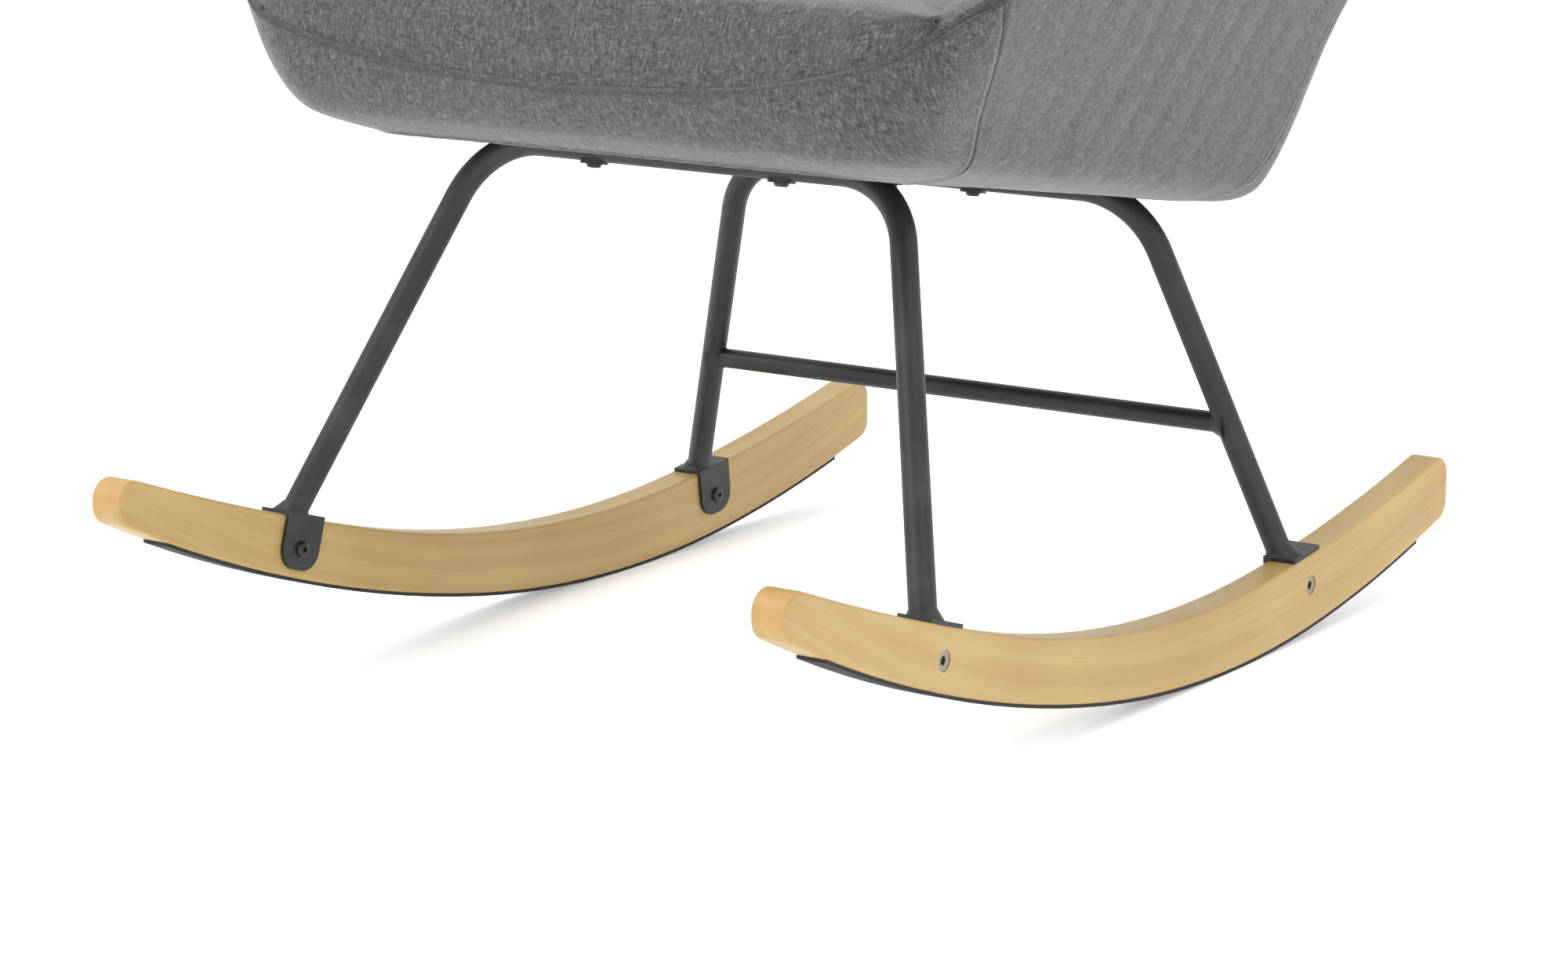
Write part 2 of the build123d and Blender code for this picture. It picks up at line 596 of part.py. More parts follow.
def seat_bolt_holes(radius):
    """Places of the seat bolts as planes that stand on the board, for cutting their holes."""
    with BuildPart() as bars:
        with Locations(*bolt_planes):
            Cylinder(radius, 4 * BOARD_TOP)
    return bars.part


with BuildPart() as seat_board:
    extrude(deck_outline(BOARD_BOTTOM), amount=BOARD_THICK)
    add(seat_bolt_holes(TEE_BARREL_RADIUS + SLIDE_FIT), mode=Mode.SUBTRACT)
save(seat_board.part, "seat_board")

with BuildPart() as dust_cover:
    extrude(deck_outline(BOARD_BOTTOM, inset=RIM_INNER / 3), amount=-DUST_COVER)
    add(seat_bolt_holes(BOLT_RADIUS + CLEAR_FIT), mode=Mode.SUBTRACT)
save(dust_cover.part, "dust_cover")


def arm_face(side, shift):
    """Inclined plane along an arm's plywood; shift moves it outwards from the plywood's middle."""
    outward = (Vector(side, 0, 0) + DEPTH_DIR * ARM_TAPER - HEIGHT_DIR * ARM_FLARE).normalized()
    origin = seat_point(side * ARM_MIDDLE, ARM_REFERENCE_DEPTH, RAIL_TOP)
    return Plane(origin=origin + outward * shift, x_dir=(0, 0, 1), z_dir=outward)


def arm_panel(side):
    """Plywood arm cut to the arm's side view and leaning outwards with it."""
    with BuildPart() as piece:
        with BuildSketch(side_plane()):
            with BuildLine():
                Polyline(*ARM_PANEL_OUTLINE, close=True)
            make_face()
            fillet(vertices().sort_by(Axis.Y)[2:], ARM_CORNER)
        extrude(amount=side * WIDEST)
        split(bisect_by=arm_face(side, -ARM_PLY / 2), keep=Keep.TOP)
        split(bisect_by=arm_face(side, ARM_PLY / 2), keep=Keep.BOTTOM)
    return piece.part


def side_rail(side):
    """Rail along one edge of the board, its outer face bevelled to meet the arm's plywood."""
    with BuildPart() as piece:
        with BuildSketch(level_plane(BOARD_TOP)):
            with BuildLine():
                Polyline(
                    (side * (DECK_HALF_FRONT - RAIL_THICK), DECK_FRONT + RAIL_THICK),
                    (side * WIDEST, DECK_FRONT + RAIL_THICK),
                    (side * WIDEST, DECK_REAR - RAIL_THICK),
                    (side * (DECK_HALF_REAR - RAIL_THICK), DECK_REAR - RAIL_THICK),
                    close=True,
                )
            make_face()
        extrude(amount=RAIL_HEIGHT)
        split(bisect_by=arm_face(side, -ARM_PLY / 2), keep=Keep.BOTTOM)
    return piece.part


tee_nut_clearance = seat_bolt_holes(TEE_FLANGE_RADIUS)
front_and_rear = (
    ("front_rail", DECK_FRONT + RAIL_THICK, Keep.TOP),
    ("rear_rail", DECK_REAR - RAIL_THICK, Keep.BOTTOM),
)
for name, cut_depth, kept_side in front_and_rear:
    with BuildPart() as rail:
        extrude(deck_outline(BOARD_TOP), amount=RAIL_HEIGHT)
        add(tee_nut_clearance, mode=Mode.SUBTRACT)
        split(bisect_by=front_plane(cut_depth), keep=kept_side)
    save(rail.part, name)

side_rails = {side: side_rail(side) for side in (-1, 1)}
arm_panels = {side: arm_panel(side) for side in (-1, 1)}
for name, side in (("left", -1), ("right", 1)):
    save(side_rails[side], f"{name}_side_rail")
    save(arm_panels[side], f"{name}_arm_panel")


def back_depth(height):
    """Depth of the back posts' front faces at this height."""
    return POST_FOOT + POST_LEAN * (height - RAIL_TOP - LOW_RAIL_HEIGHT)


def back_slab(near, far, bottom, top, half, middle=0.0):
    """Block that leans with the back posts, between two offsets behind their front faces."""
    with BuildPart() as slab:
        with BuildSketch(side_plane()):
            with BuildLine():
                Polyline(
                    (back_depth(bottom) + near, bottom),
                    (back_depth(bottom) + far, bottom),
                    (back_depth(top) + far, top),
                    (back_depth(top) + near, top),
                    close=True,
                )
            make_face()
        extrude(amount=half, both=True)
    return slab.part.moved(Location((middle, 0, 0)))


low_rail_top = RAIL_TOP + LOW_RAIL_HEIGHT
back_timber = {
    "left_back_post": back_slab(0, POST_DEPTH, low_rail_top, POST_TOP, POST_WIDTH / 2, -POST_X),
    "right_back_post": back_slab(0, POST_DEPTH, low_rail_top, POST_TOP, POST_WIDTH / 2, POST_X),
    "lumbar_rail": back_slab(0, POST_DEPTH, LUMBAR_RAIL, LUMBAR_RAIL + POST_WIDTH, POST_X - POST_WIDTH / 2),
    "top_rail": back_slab(0, POST_DEPTH, POST_TOP - POST_WIDTH, POST_TOP, POST_X - POST_WIDTH / 2),
}
with BuildPart() as lower_back_rail:
    with BuildSketch(level_plane(RAIL_TOP)):
        with Locations((0, POST_FOOT + POST_DEPTH / 2)):
            Rectangle(2 * LOW_RAIL_HALF, POST_DEPTH)
    extrude(amount=LOW_RAIL_HEIGHT)
back_timber["lower_back_rail"] = lower_back_rail.part
for name, timber in back_timber.items():
    save(timber, name)

with BuildPart() as back_webbing:
    for height in STRAP_HEIGHTS:
        add(back_slab(-STRAP_THICK, 0, height, height + STRAP_WIDTH, POST_X + POST_WIDTH / 2))
save(back_webbing.part, "back_webbing")


def zigzag_points(x):
    """Corners of one flat zigzag spring that runs from the front rail to the rear rail."""
    first = DECK_FRONT + RAIL_THICK / 2
    last = DECK_REAR - RAIL_THICK + 3 * SPRING_RADIUS
    turns = int((last - first) / SPRING_PITCH)
    step = (last - first) / turns
    corners = [(x + SPRING_SWING * (-1) ** turn, first + step * (turn + 0.5)) for turn in range(turns)]
    return [(x - SPRING_SWING, first), (x + SPRING_SWING, first)] + corners[1:] + [(corners[-1][0], last)]


with BuildPart() as seat_springs:
    for row in range(SPRING_ROWS):
        x = (row - (SPRING_ROWS - 1) / 2) * SPRING_ROW_GAP
        with BuildLine(level_plane(RAIL_TOP + SPRING_RADIUS)) as wire:
            FilletPolyline(*zigzag_points(x), radius=SPRING_BEND)
        with BuildSketch(Plane(origin=wire.line @ 0, z_dir=wire.line % 0)):
            Circle(SPRING_RADIUS)
        sweep(path=wire.line)
save(seat_springs.part, "seat_springs")


# ============================================================================================
# Padding and covers
# ============================================================================================
def tub_outline(level, grow, drop=0.0):
    """Rounded plan outline of the tub at one level, bowed at the rear."""
    front_half = level.front_half + grow
    rear_half = level.rear_half + grow
    front = level.front - grow
    rear = level.rear + grow
    with BuildSketch(level_plane(level.height - drop)) as outline:
        with BuildLine():
            Line((-front_half, front), (front_half, front))
            Line((front_half, front), (rear_half, rear - REAR_BOW))
            ThreePointArc((rear_half, rear - REAR_BOW), (0, rear), (-rear_half, rear - REAR_BOW))
            Line((-rear_half, rear - REAR_BOW), (-front_half, front))
        make_face()
        corners = vertices().sort_by(Axis.Y)
        fillet(corners[:2], level.front_round + grow)
        fillet(corners[-2:], level.rear_round + grow)
    return outline.sketch


def tub(levels, grow):
    """Solid lofted through the outlines of one set of levels, grown or shrunk all round."""
    sections = [tub_outline(levels[0], grow, drop=grow)]
    sections += [tub_outline(level, grow) for level in levels[1:]]
    with BuildPart() as solid:
        loft(sections=sections, ruled=True)
    return solid.part


def below_seam(lift=0.0):
    """Everything under the piped seam: the front band's curve first, then the arms and the back."""
    with BuildPart() as region:
        with BuildSketch(front_plane(ARM_FRONT, lift)):
            with BuildLine():
                Spline(*FRONT_SEAM)
                Polyline(FRONT_SEAM[-1], (FRONT_SEAM[-1][0], LOWEST), (FRONT_SEAM[0][0], LOWEST), FRONT_SEAM[0])
            make_face()
        extrude(amount=FRONT_REACH)
        with BuildSketch(side_plane(lift)):
            with BuildLine():
                Spline(*ARM_SEAM)
                Polyline(ARM_SEAM[-1], (WIDEST, BACK_TOP), (WIDEST, LOWEST), (ARM_FRONT, LOWEST), ARM_SEAM[0])
            make_face()
        extrude(amount=WIDEST, both=True)
    with BuildPart() as trimmed:
        add(region.part)
        with BuildSketch(front_plane(-WIDEST, lift)):
            with BuildLine():
                Polyline(*BACK_SILHOUETTE, close=True)
            make_face()
            fillet(vertices().sort_by(Axis.Y)[-2:], BACK_CORNER)
        extrude(amount=-2 * WIDEST, mode=Mode.INTERSECT)
    return trimmed.part


def slab_between(bottom, top):
    """Very wide slab between two heights above the tube centres."""
    with BuildPart() as slab:
        with BuildSketch(level_plane(bottom)):
            Rectangle(2 * WIDEST, 3 * WIDEST)
        extrude(amount=top - bottom)
    return slab.part


outer_face = tub(OUTSIDE, 0)
padding_face = tub(OUTSIDE, -COVER)
piping_face = tub(OUTSIDE, PIPING)
sitting_face = tub(SITTING_SPACE, 0)
sitting_padding_face = tub(SITTING_SPACE, COVER)
seam_region = below_seam()
padding_region = below_seam(-COVER)
piping_bottom = below_seam(-2 * PIPING)
timber_and_straps = list(back_timber.values()) + list(arm_panels.values()) + [back_webbing.part]

with BuildPart() as underside_recess:
    extrude(deck_outline(LOWEST, inset=RIM_INNER), amount=BOARD_BOTTOM - DUST_COVER - LOWEST)

with BuildPart() as outer_skin:
    add(outer_face)
    add(padding_face, mode=Mode.SUBTRACT)
    add(seam_region, mode=Mode.INTERSECT)
    add(underside_recess.part, mode=Mode.SUBTRACT)


def side_seam_plane():
    """Plane of the seam between the front band and the side panels."""
    foot = seat_point(0, *SIDE_SEAM_FOOT)
    rise = seat_point(0, *SIDE_SEAM_TOP) - foot
    return Plane(origin=foot, x_dir=(1, 0, 0), z_dir=Vector(1, 0, 0).cross(rise))


def back_seam_plane(depth):
    """Plane of the seams that run up the rear corners, leaning with the back."""
    rise = DEPTH_DIR * BACK_SEAM_LEAN + HEIGHT_DIR
    return Plane(origin=seat_point(0, depth, 0), x_dir=(1, 0, 0), z_dir=Vector(1, 0, 0).cross(rise))


def post_face_plane():
    """Plane along the front faces of the back posts."""
    rise = DEPTH_DIR * POST_LEAN + HEIGHT_DIR
    return Plane(origin=seat_point(0, back_depth(0), 0), x_dir=(1, 0, 0), z_dir=Vector(1, 0, 0).cross(rise))


with BuildPart() as front_band_cover:
    add(outer_skin.part)
    split(bisect_by=side_seam_plane(), keep=Keep.TOP)
save(front_band_cover.part, "front_band_cover")

with BuildPart() as outside_back_cover:
    add(outer_skin.part)
    split(bisect_by=back_seam_plane(BACK_SEAM_FOOT), keep=Keep.BOTTOM)
save(outside_back_cover.part, "outside_back_cover")

for name, kept_side in (("left", Keep.BOTTOM), ("right", Keep.TOP)):
    with BuildPart() as side_cover:
        add(outer_skin.part)
        split(bisect_by=side_seam_plane(), keep=Keep.BOTTOM)
        split(bisect_by=back_seam_plane(BACK_SEAM_FOOT), keep=Keep.TOP)
        split(bisect_by=Plane.YZ, keep=kept_side)
    save(side_cover.part, f"{name}_side_cover")

with BuildPart() as edge_piping:
    add(piping_face)
    add(outer_face, mode=Mode.SUBTRACT)
    add(seam_region, mode=Mode.INTERSECT)
    add(piping_bottom, mode=Mode.SUBTRACT)
save(edge_piping.part, "edge_piping")

with BuildPart() as deck_block:
    extrude(deck_outline(BOARD_BOTTOM - DUST_COVER), amount=RAIL_TOP)

with BuildPart() as rim_padding:
    add(padding_face)
    add(slab_between(0, FOAM_BOTTOM), mode=Mode.INTERSECT)
    add(deck_block.part, mode=Mode.SUBTRACT)
    add(underside_recess.part, mode=Mode.SUBTRACT)
    for side in (-1, 1):
        add(side_rails[side], mode=Mode.SUBTRACT)
        add(arm_panels[side], mode=Mode.SUBTRACT)
    add(lower_back_rail.part, mode=Mode.SUBTRACT)
save(rim_padding.part, "rim_padding")

with BuildPart() as wall_core:
    add(padding_face)
    add(sitting_padding_face, mode=Mode.SUBTRACT)
    add(padding_region, mode=Mode.INTERSECT)
    add(slab_between(FOAM_BOTTOM, HIGHEST), mode=Mode.INTERSECT)

with BuildPart() as inner_wall:
    add(wall_core.part)
    for timber in timber_and_straps:
        add(timber, mode=Mode.SUBTRACT)

for name, kept_side in (("left", Keep.BOTTOM), ("right", Keep.TOP)):
    with BuildPart() as arm_foam:
        add(inner_wall.part)
        split(bisect_by=back_seam_plane(ARM_BACK_FOOT), keep=Keep.TOP)
        split(bisect_by=Plane.YZ, keep=kept_side)
    save(arm_foam.part, f"{name}_arm_foam")

with BuildPart() as back_foam:
    add(inner_wall.part)
    split(bisect_by=back_seam_plane(ARM_BACK_FOOT), keep=Keep.BOTTOM)
    split(bisect_by=post_face_plane(), keep=Keep.TOP)
save(back_foam.part, "back_foam")

with BuildPart() as back_wadding:
    add(inner_wall.part)
    split(bisect_by=post_face_plane(), keep=Keep.BOTTOM)
    add(tub(OUTSIDE, -COVER - WADDING), mode=Mode.SUBTRACT)
save(back_wadding.part, "back_wadding")

with BuildPart() as inner_skin:
    add(padding_face)
    add(sitting_face, mode=Mode.SUBTRACT)
    add(seam_region, mode=Mode.INTERSECT)
    add(slab_between(FOAM_BOTTOM, HIGHEST), mode=Mode.INTERSECT)
    add(wall_core.part, mode=Mode.SUBTRACT)

with BuildPart() as inside_back_cover:
    add(inner_skin.part)
    split(bisect_by=back_seam_plane(ARM_BACK_FOOT), keep=Keep.BOTTOM)
save(inside_back_cover.part, "inside_back_cover")

for name, kept_side in (("left", Keep.BOTTOM), ("right", Keep.TOP)):
    with BuildPart() as inside_arm_cover:
        add(inner_skin.part)
        split(bisect_by=back_seam_plane(ARM_BACK_FOOT), keep=Keep.TOP)
        split(bisect_by=Plane.YZ, keep=kept_side)
    save(inside_arm_cover.part.solids().sort_by(SortBy.VOLUME)[-1], f"{name}_inside_arm_cover")


def seat_form(shrink):
    """Solid under the crowned seat line, pulled in by the cover's thickness when asked."""
    with BuildPart() as form:
        with BuildSketch(side_plane(-shrink)):
            with BuildLine():
                Spline(*SEAT_NOSE)
                Polyline(SEAT_NOSE[-1], (SEAT_NOSE[-1][0], LOWEST), (SEAT_NOSE[0][0], LOWEST), SEAT_NOSE[0])
            make_face()
        extrude(amount=SEAT_HALF, both=True)
        add(sitting_face, mode=Mode.INTERSECT)
        add(slab_between(FOAM_BOTTOM, HIGHEST), mode=Mode.INTERSECT)
    return form.part


with BuildPart() as seat_foam:
    add(seat_form(COVER))
    add(padding_face, mode=Mode.INTERSECT)
save(seat_foam.part, "seat_foam")

with BuildPart() as seat_cover_top:
    add(seat_form(0))
    add(outer_face, mode=Mode.INTERSECT)
    add(seat_foam.part, mode=Mode.SUBTRACT)

with BuildPart() as seat_cover_front:
    add(outer_face)
    add(padding_face, mode=Mode.SUBTRACT)
    add(slab_between(LOWEST, FOAM_BOTTOM), mode=Mode.INTERSECT)
    add(seam_region, mode=Mode.SUBTRACT)

with BuildPart() as seat_cover:
    add(seat_cover_top.part)
    add(seat_cover_front.part)
save(seat_cover.part, "seat_cover")
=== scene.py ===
"""Looks of an upholstered rocking chair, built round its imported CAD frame. Metres, +Z up, facing -Y."""

from __future__ import annotations

import logging
import math
from dataclasses import dataclass
from enum import Enum
from typing import Any, Callable, Sequence

import bpy
import numpy as np
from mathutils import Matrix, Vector

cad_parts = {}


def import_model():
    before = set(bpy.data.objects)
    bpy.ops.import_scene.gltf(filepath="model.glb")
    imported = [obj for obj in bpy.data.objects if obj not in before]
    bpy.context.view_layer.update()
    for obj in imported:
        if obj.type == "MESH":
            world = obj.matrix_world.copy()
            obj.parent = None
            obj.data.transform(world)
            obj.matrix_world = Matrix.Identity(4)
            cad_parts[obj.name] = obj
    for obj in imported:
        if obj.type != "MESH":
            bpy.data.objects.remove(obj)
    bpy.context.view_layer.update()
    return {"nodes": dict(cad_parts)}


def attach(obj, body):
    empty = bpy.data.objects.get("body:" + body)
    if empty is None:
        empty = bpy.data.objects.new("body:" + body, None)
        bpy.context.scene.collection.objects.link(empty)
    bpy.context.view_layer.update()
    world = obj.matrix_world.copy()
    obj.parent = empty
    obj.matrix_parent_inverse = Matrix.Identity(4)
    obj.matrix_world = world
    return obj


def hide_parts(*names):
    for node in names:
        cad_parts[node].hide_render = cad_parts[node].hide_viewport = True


LOG = logging.getLogger("rocking_chair")
MM = 0.001
Array = np.ndarray


# ----------------------------------------------------------------------------------------------
# Numeric helpers
# ----------------------------------------------------------------------------------------------
def smooth_table(knots: Array, values: Array, at: Array) -> Array:
    """Monotone cubic interpolation through a table.

    Args:
        knots: Rising positions, shape (k,).
        values: Values at the knots, shape (k,) or (k, n).
        at: Positions to read, shape (m,), or (m, n) where values is (k, n).

    Returns:
        The values at those positions.
    """
    knots = np.asarray(knots, float)
    values = np.asarray(values, float)
    flat = values.ndim == 1
    table = values[:, None] if flat else values
    step = np.diff(knots)[:, None]
    slope = np.diff(table, axis=0) / step
    product = slope[:-1] * slope[1:]
    inner = np.where(product > 0, 2 * product / (slope[:-1] + slope[1:] + 1e-12), 0.0)
    tangent = np.vstack([slope[:1], inner, slope[-1:]])
    wanted = np.clip(np.asarray(at, float), knots[0], knots[-1])
    index = np.clip(np.searchsorted(knots, wanted, side="right") - 1, 0, len(knots) - 2)
    if flat:
        column = np.zeros_like(index)
    else:
        wanted = wanted if wanted.ndim == 2 else np.repeat(wanted[:, None], table.shape[1], 1)
        index = index if index.ndim == 2 else np.repeat(index[:, None], table.shape[1], 1)
        column = np.broadcast_to(np.arange(table.shape[1]), index.shape)
    width = knots[index + 1] - knots[index]
    t = (wanted - knots[index]) / width
    low, high = table[index, column], table[index + 1, column]
    leave, arrive = tangent[index, column] * width, tangent[index + 1, column] * width
    return (
        low * (1 + 2 * t) * (1 - t) ** 2 + leave * t * (1 - t) ** 2
        + high * t * t * (3 - 2 * t) + arrive * t * t * (t - 1)
    )


def ripple(along: Array, pitch: float, phase: float) -> Array:
    """Irregular wave between about -1 and 1, the same on every run.

    Args:
        along: Positions in metres.
        pitch: Mean distance from crest to crest.
        phase: Start of the wave, so that neighbours differ.

    Returns:
        The wave's height at each position.
    """
    turn = 2 * math.pi * along / pitch
    return (
        np.sin(turn + phase) * 0.45
        + np.sin(turn * 0.61 + 2.1 * phase) * 0.35
        + np.sin(turn * 1.73 - phase) * 0.2
    )


# ----------------------------------------------------------------------------------------------
# Shape of the shell
# ----------------------------------------------------------------------------------------------
@dataclass(frozen=True)
class SeatFrame:
    """Leaning frame of the seat: depth runs rearwards and height square to the seat board."""

    tilt: float = math.atan(0.154054)
    origin_z: float = 0.358716

    def place(self, x: Array, depth: Array, height: Array) -> Array:
        """Turns seat coordinates into the row frame.

        Args:
            x: Distance across the chair.
            depth: Distance rearwards.
            height: Distance above the tube centres.

        Returns:
            Points, with the three coordinates on the last axis.
        """
        c, s = math.cos(self.tilt), math.sin(self.tilt)
        return np.stack([x, depth * c + height * s, self.origin_z - depth * s + height * c], axis=-1)


@dataclass(frozen=True)
class Level:
    """Rounded plan outline at one height, in millimetres."""

    height: float
    front: float
    rear: float
    front_half: float
    rear_half: float
    front_round: float
    rear_round: float


OUTSIDE = (
    Level(0, -296, 228, 216, 216, 40, 32),
    Level(12, -324, 242, 254, 237, 44, 38),
    Level(45, -348, 255, 276, 253, 47, 51),
    Level(119, -352, 276, 320, 271, 56, 66),
    Level(245, -356, 309, 358, 305, 68, 81),
    Level(450, -356, 346, 350, 290, 74, 86),
    Level(690, -356, 386.4, 323, 257, 80, 86),
)
INSIDE = (
    Level(60, -520, 132, 262, 203, 20, 80),
    Level(119, -520, 147, 284, 211, 20, 85),
    Level(245, -520, 182, 316, 228, 20, 95),
    Level(450, -520, 243, 318, 216, 20, 95),
    Level(760, -520, 328, 296, 180, 20, 95),
)
RECESS_EDGE = Level(8, -284, 168, 194, 166, 26, 26)
REAR_BOW = 14.0
FRONT_SEAM = ((0, 40), (130, 47), (200, 58), (258, 74), (312, 118), (332, 142))
ARM_SEAM = (
    (-316, 112), (-285, 172), (-232, 226), (-150, 248), (-40, 253), (70, 276), (142, 340), (190, 432),
    (232, 545), (264, 640), (279, 686),
)
SEAT_LINE = (
    (-343, 105), (-328, 112), (-296, 119), (-230, 122), (-150, 123), (0, 120), (135, 115), (160, 113),
)
ARM_FRONT = -316.0
BACK_TOP = 686.0
CORNER_CENTRE = (163.5, 556.0)
CORNER_RADIUS = 130.0
WING_HALF = 300.0            # half-width at which the back's outline breaks towards the arms
WING_TOP = 520.0
WING_FALL = 0.923            # drop for each millimetre outwards beyond the break
ROLL_EDGES = (100.0, 205.0, 262.0, 700.0)   # heights of the piped edge ...
ROLL_DROPS = (3.0, 7.0, 34.0, 40.0)         # ... and how far the padded roll falls inside it
CROWN_SHARE = 0.2            # rise of the roll as a share of the padding's thickness
CROWN_MOST = 10.0
SEAT_START_HALF = 287.0      # half-width of the seat's cloth at the piping
SEAT_MOST_HALF = 285.0
SEAT_NOSE = 105.0            # height where the seat's front face turns over


class Centre:
    """Line inside the tub, leaning with the back, from which every wall is measured."""

    START = -30.0
    LEAN = 0.2

    @classmethod
    def depth(cls, height: Array) -> Array:
        """Depth of the line at a height, in millimetres."""
        return cls.START + cls.LEAN * height


def outline_radius(level: Level, angles: Array) -> Array:
    """Distance from the centre line to a level's rounded outline.

    Args:
        level: The outline.
        angles: Directions in radians, 0 to the rear and pi to the front, shape (n,).

    Returns:
        Radii in millimetres, shape (n,).
    """
    corners = np.array([
        (0.0, level.front), (level.front_half, level.front), (level.rear_half, level.rear - REAR_BOW),
        (0.0, level.rear - REAR_BOW),
    ])
    points = [corners[0]]
    for index, radius in ((1, level.front_round), (2, level.rear_round)):
        before = corners[index - 1] - corners[index]
        after = corners[index + 1] - corners[index]
        before, after = before / np.linalg.norm(before), after / np.linalg.norm(after)
        half = math.acos(float(np.clip(before @ after, -1, 1))) / 2
        bisector = (before + after) / np.linalg.norm(before + after)
        middle = corners[index] + bisector * radius / math.sin(half)
        start = corners[index] + before * radius / math.tan(half) - middle
        end = corners[index] + after * radius / math.tan(half) - middle
        first, last = math.atan2(start[1], start[0]), math.atan2(end[1], end[0])
        turn = (last - first + math.pi) % (2 * math.pi) - math.pi
        sweep = first + turn * np.linspace(0, 1, 24)
        points.extend(middle + radius * np.stack([np.cos(sweep), np.sin(sweep)], 1))
    points.append(corners[3])
    path = np.array(points)
    dense = np.concatenate([
        path[i] + (path[i + 1] - path[i]) * np.linspace(0, 1, 12, endpoint=False)[:, None]
        for i in range(len(path) - 1)
    ] + [path[-1:]])
    rear = np.clip((dense[:, 1] - (level.rear - REAR_BOW - level.rear_round)) / level.rear_round, 0, 1)
    dense[:, 1] += REAR_BOW * (1 - np.minimum(dense[:, 0] / level.rear_half, 1) ** 2) * rear
    offset = dense[:, 1] - Centre.depth(level.height)
    direction = np.arctan2(dense[:, 0], offset)
    order = np.argsort(direction)
    folded = np.abs((angles + math.pi) % (2 * math.pi) - math.pi)
    return np.interp(folded, direction[order], np.hypot(dense[:, 0], offset)[order])


def seam_height(x: Array, depth: Array) -> Array:
    """Height of the shell's piped edge over a point in plan, in millimetres.

    Args:
        x: Distance across the chair.
        depth: Distance rearwards.

    Returns:
        The edge's height there.
    """
    front, arm, across = np.array(FRONT_SEAM, float), np.array(ARM_SEAM, float), np.abs(x)
    front_curve = np.interp(across, *dense_table(front))
    arm_curve = np.interp(depth, *dense_table(arm))
    profile = np.where(depth < ARM_FRONT, front_curve, arm_curve)
    side = np.clip(across - CORNER_CENTRE[0], 0, CORNER_RADIUS * 0.985)
    corner = CORNER_CENTRE[1] + np.sqrt(CORNER_RADIUS ** 2 - side ** 2)
    below = 6.9 * np.clip(across - CORNER_CENTRE[0] - CORNER_RADIUS * 0.985, 0, None)
    wing = np.maximum(corner - below, WING_TOP - (across - WING_HALF) * WING_FALL)
    silhouette = np.where(across > WING_HALF, wing, corner - below)
    silhouette = np.where(depth < 100, 2 * BACK_TOP, silhouette)
    soft = 9.0
    return silhouette - soft * np.logaddexp(0.0, (silhouette - profile) / soft)


def dense_table(table: Array) -> tuple[Array, Array]:
    """A table refined with the monotone cubic, for quick linear reading."""
    knots = np.linspace(table[0, 0], table[-1, 0], 400)
    return knots, smooth_table(table[:, 0], table[:, 1], knots)


@dataclass
class Wall:
    """Family of curves (radius, height) over the angle about the centre line.

    radii and heights have shape (steps, angles). The cloth begins at row 0 and ends at the last row.
    """

    angles: Array
    radii: Array
    heights: Array

    def point(self, t: Array, angle: Array) -> Array:
        """Reads the wall in seat millimetres.

        Args:
            t: Position along the curves, 0 to 1.
            angle: Direction about the centre line, in radians.

        Returns:
            (x, depth, height) on the last axis.
        """
        rows, columns = self.radii.shape
        row = np.clip(t, 0, 1) * (rows - 1)
        column = (angle - self.angles[0]) / (self.angles[-1] - self.angles[0]) * (columns - 1)
        column = np.clip(column, 0, columns - 1.000001)
        r0 = np.clip(row.astype(int), 0, rows - 2)
        c0 = column.astype(int)
        fr, fc = row - r0, column - c0

        def blend(grid: Array) -> Array:
            """Bilinear reading of one grid."""
            low = grid[r0, c0] * (1 - fc) + grid[r0, c0 + 1] * fc
            high = grid[r0 + 1, c0] * (1 - fc) + grid[r0 + 1, c0 + 1] * fc
            return low * (1 - fr) + high * fr

        radius, height = blend(self.radii), blend(self.heights)
        return np.stack([radius * np.sin(angle), Centre.depth(height) + radius * np.cos(angle), height], -1)

    def angle_where(self, t: Array, clear: Callable[[Array], Array], start: float, end: float) -> Array:
        """Angle at which each level of the wall crosses a seam.

        Args:
            t: Levels, shape (n,).
            clear: Function of points that is positive before the seam and negative after it.
            start: First angle to search.
            end: Last angle to search.

        Returns:
            One angle for each level; the start where the seam isn't met.
        """
        search = np.linspace(start, end, 500)
        grid_t, grid_a = np.meshgrid(t, search, indexing="ij")
        value = clear(self.point(grid_t, grid_a))
        crossed = (value[:, :-1] > 0) & (value[:, 1:] <= 0)
        first = crossed.argmax(1)
        rows = np.arange(len(t))
        before, after = value[rows, first], value[rows, first + 1]
        part = before / np.where(np.abs(before - after) < 1e-9, 1, before - after)
        found = search[first] + (search[first + 1] - search[first]) * np.clip(part, 0, 1)
        return np.where(crossed.any(1), found, search[0])


ANGLES = np.linspace(-math.pi, math.pi, 1081)


def trace(controls_r: Array, controls_h: Array, steps: int) -> tuple[Array, Array]:
    """Smooth curves through control points, evenly stepped along their mean length.

    Args:
        controls_r: Radii, shape (k, n).
        controls_h: Heights, shape (k, n).
        steps: Number of points wanted along each curve.

    Returns:
        Radii and heights, each of shape (steps, n).
    """
    chord = np.hypot(np.diff(controls_r, axis=0), np.diff(controls_h, axis=0)).mean(1)
    knots = np.concatenate([[0], np.cumsum(np.maximum(chord, 0.5))])
    at = np.linspace(0, knots[-1], steps)
    return smooth_table(knots, controls_r, at), smooth_table(knots, controls_h, at)


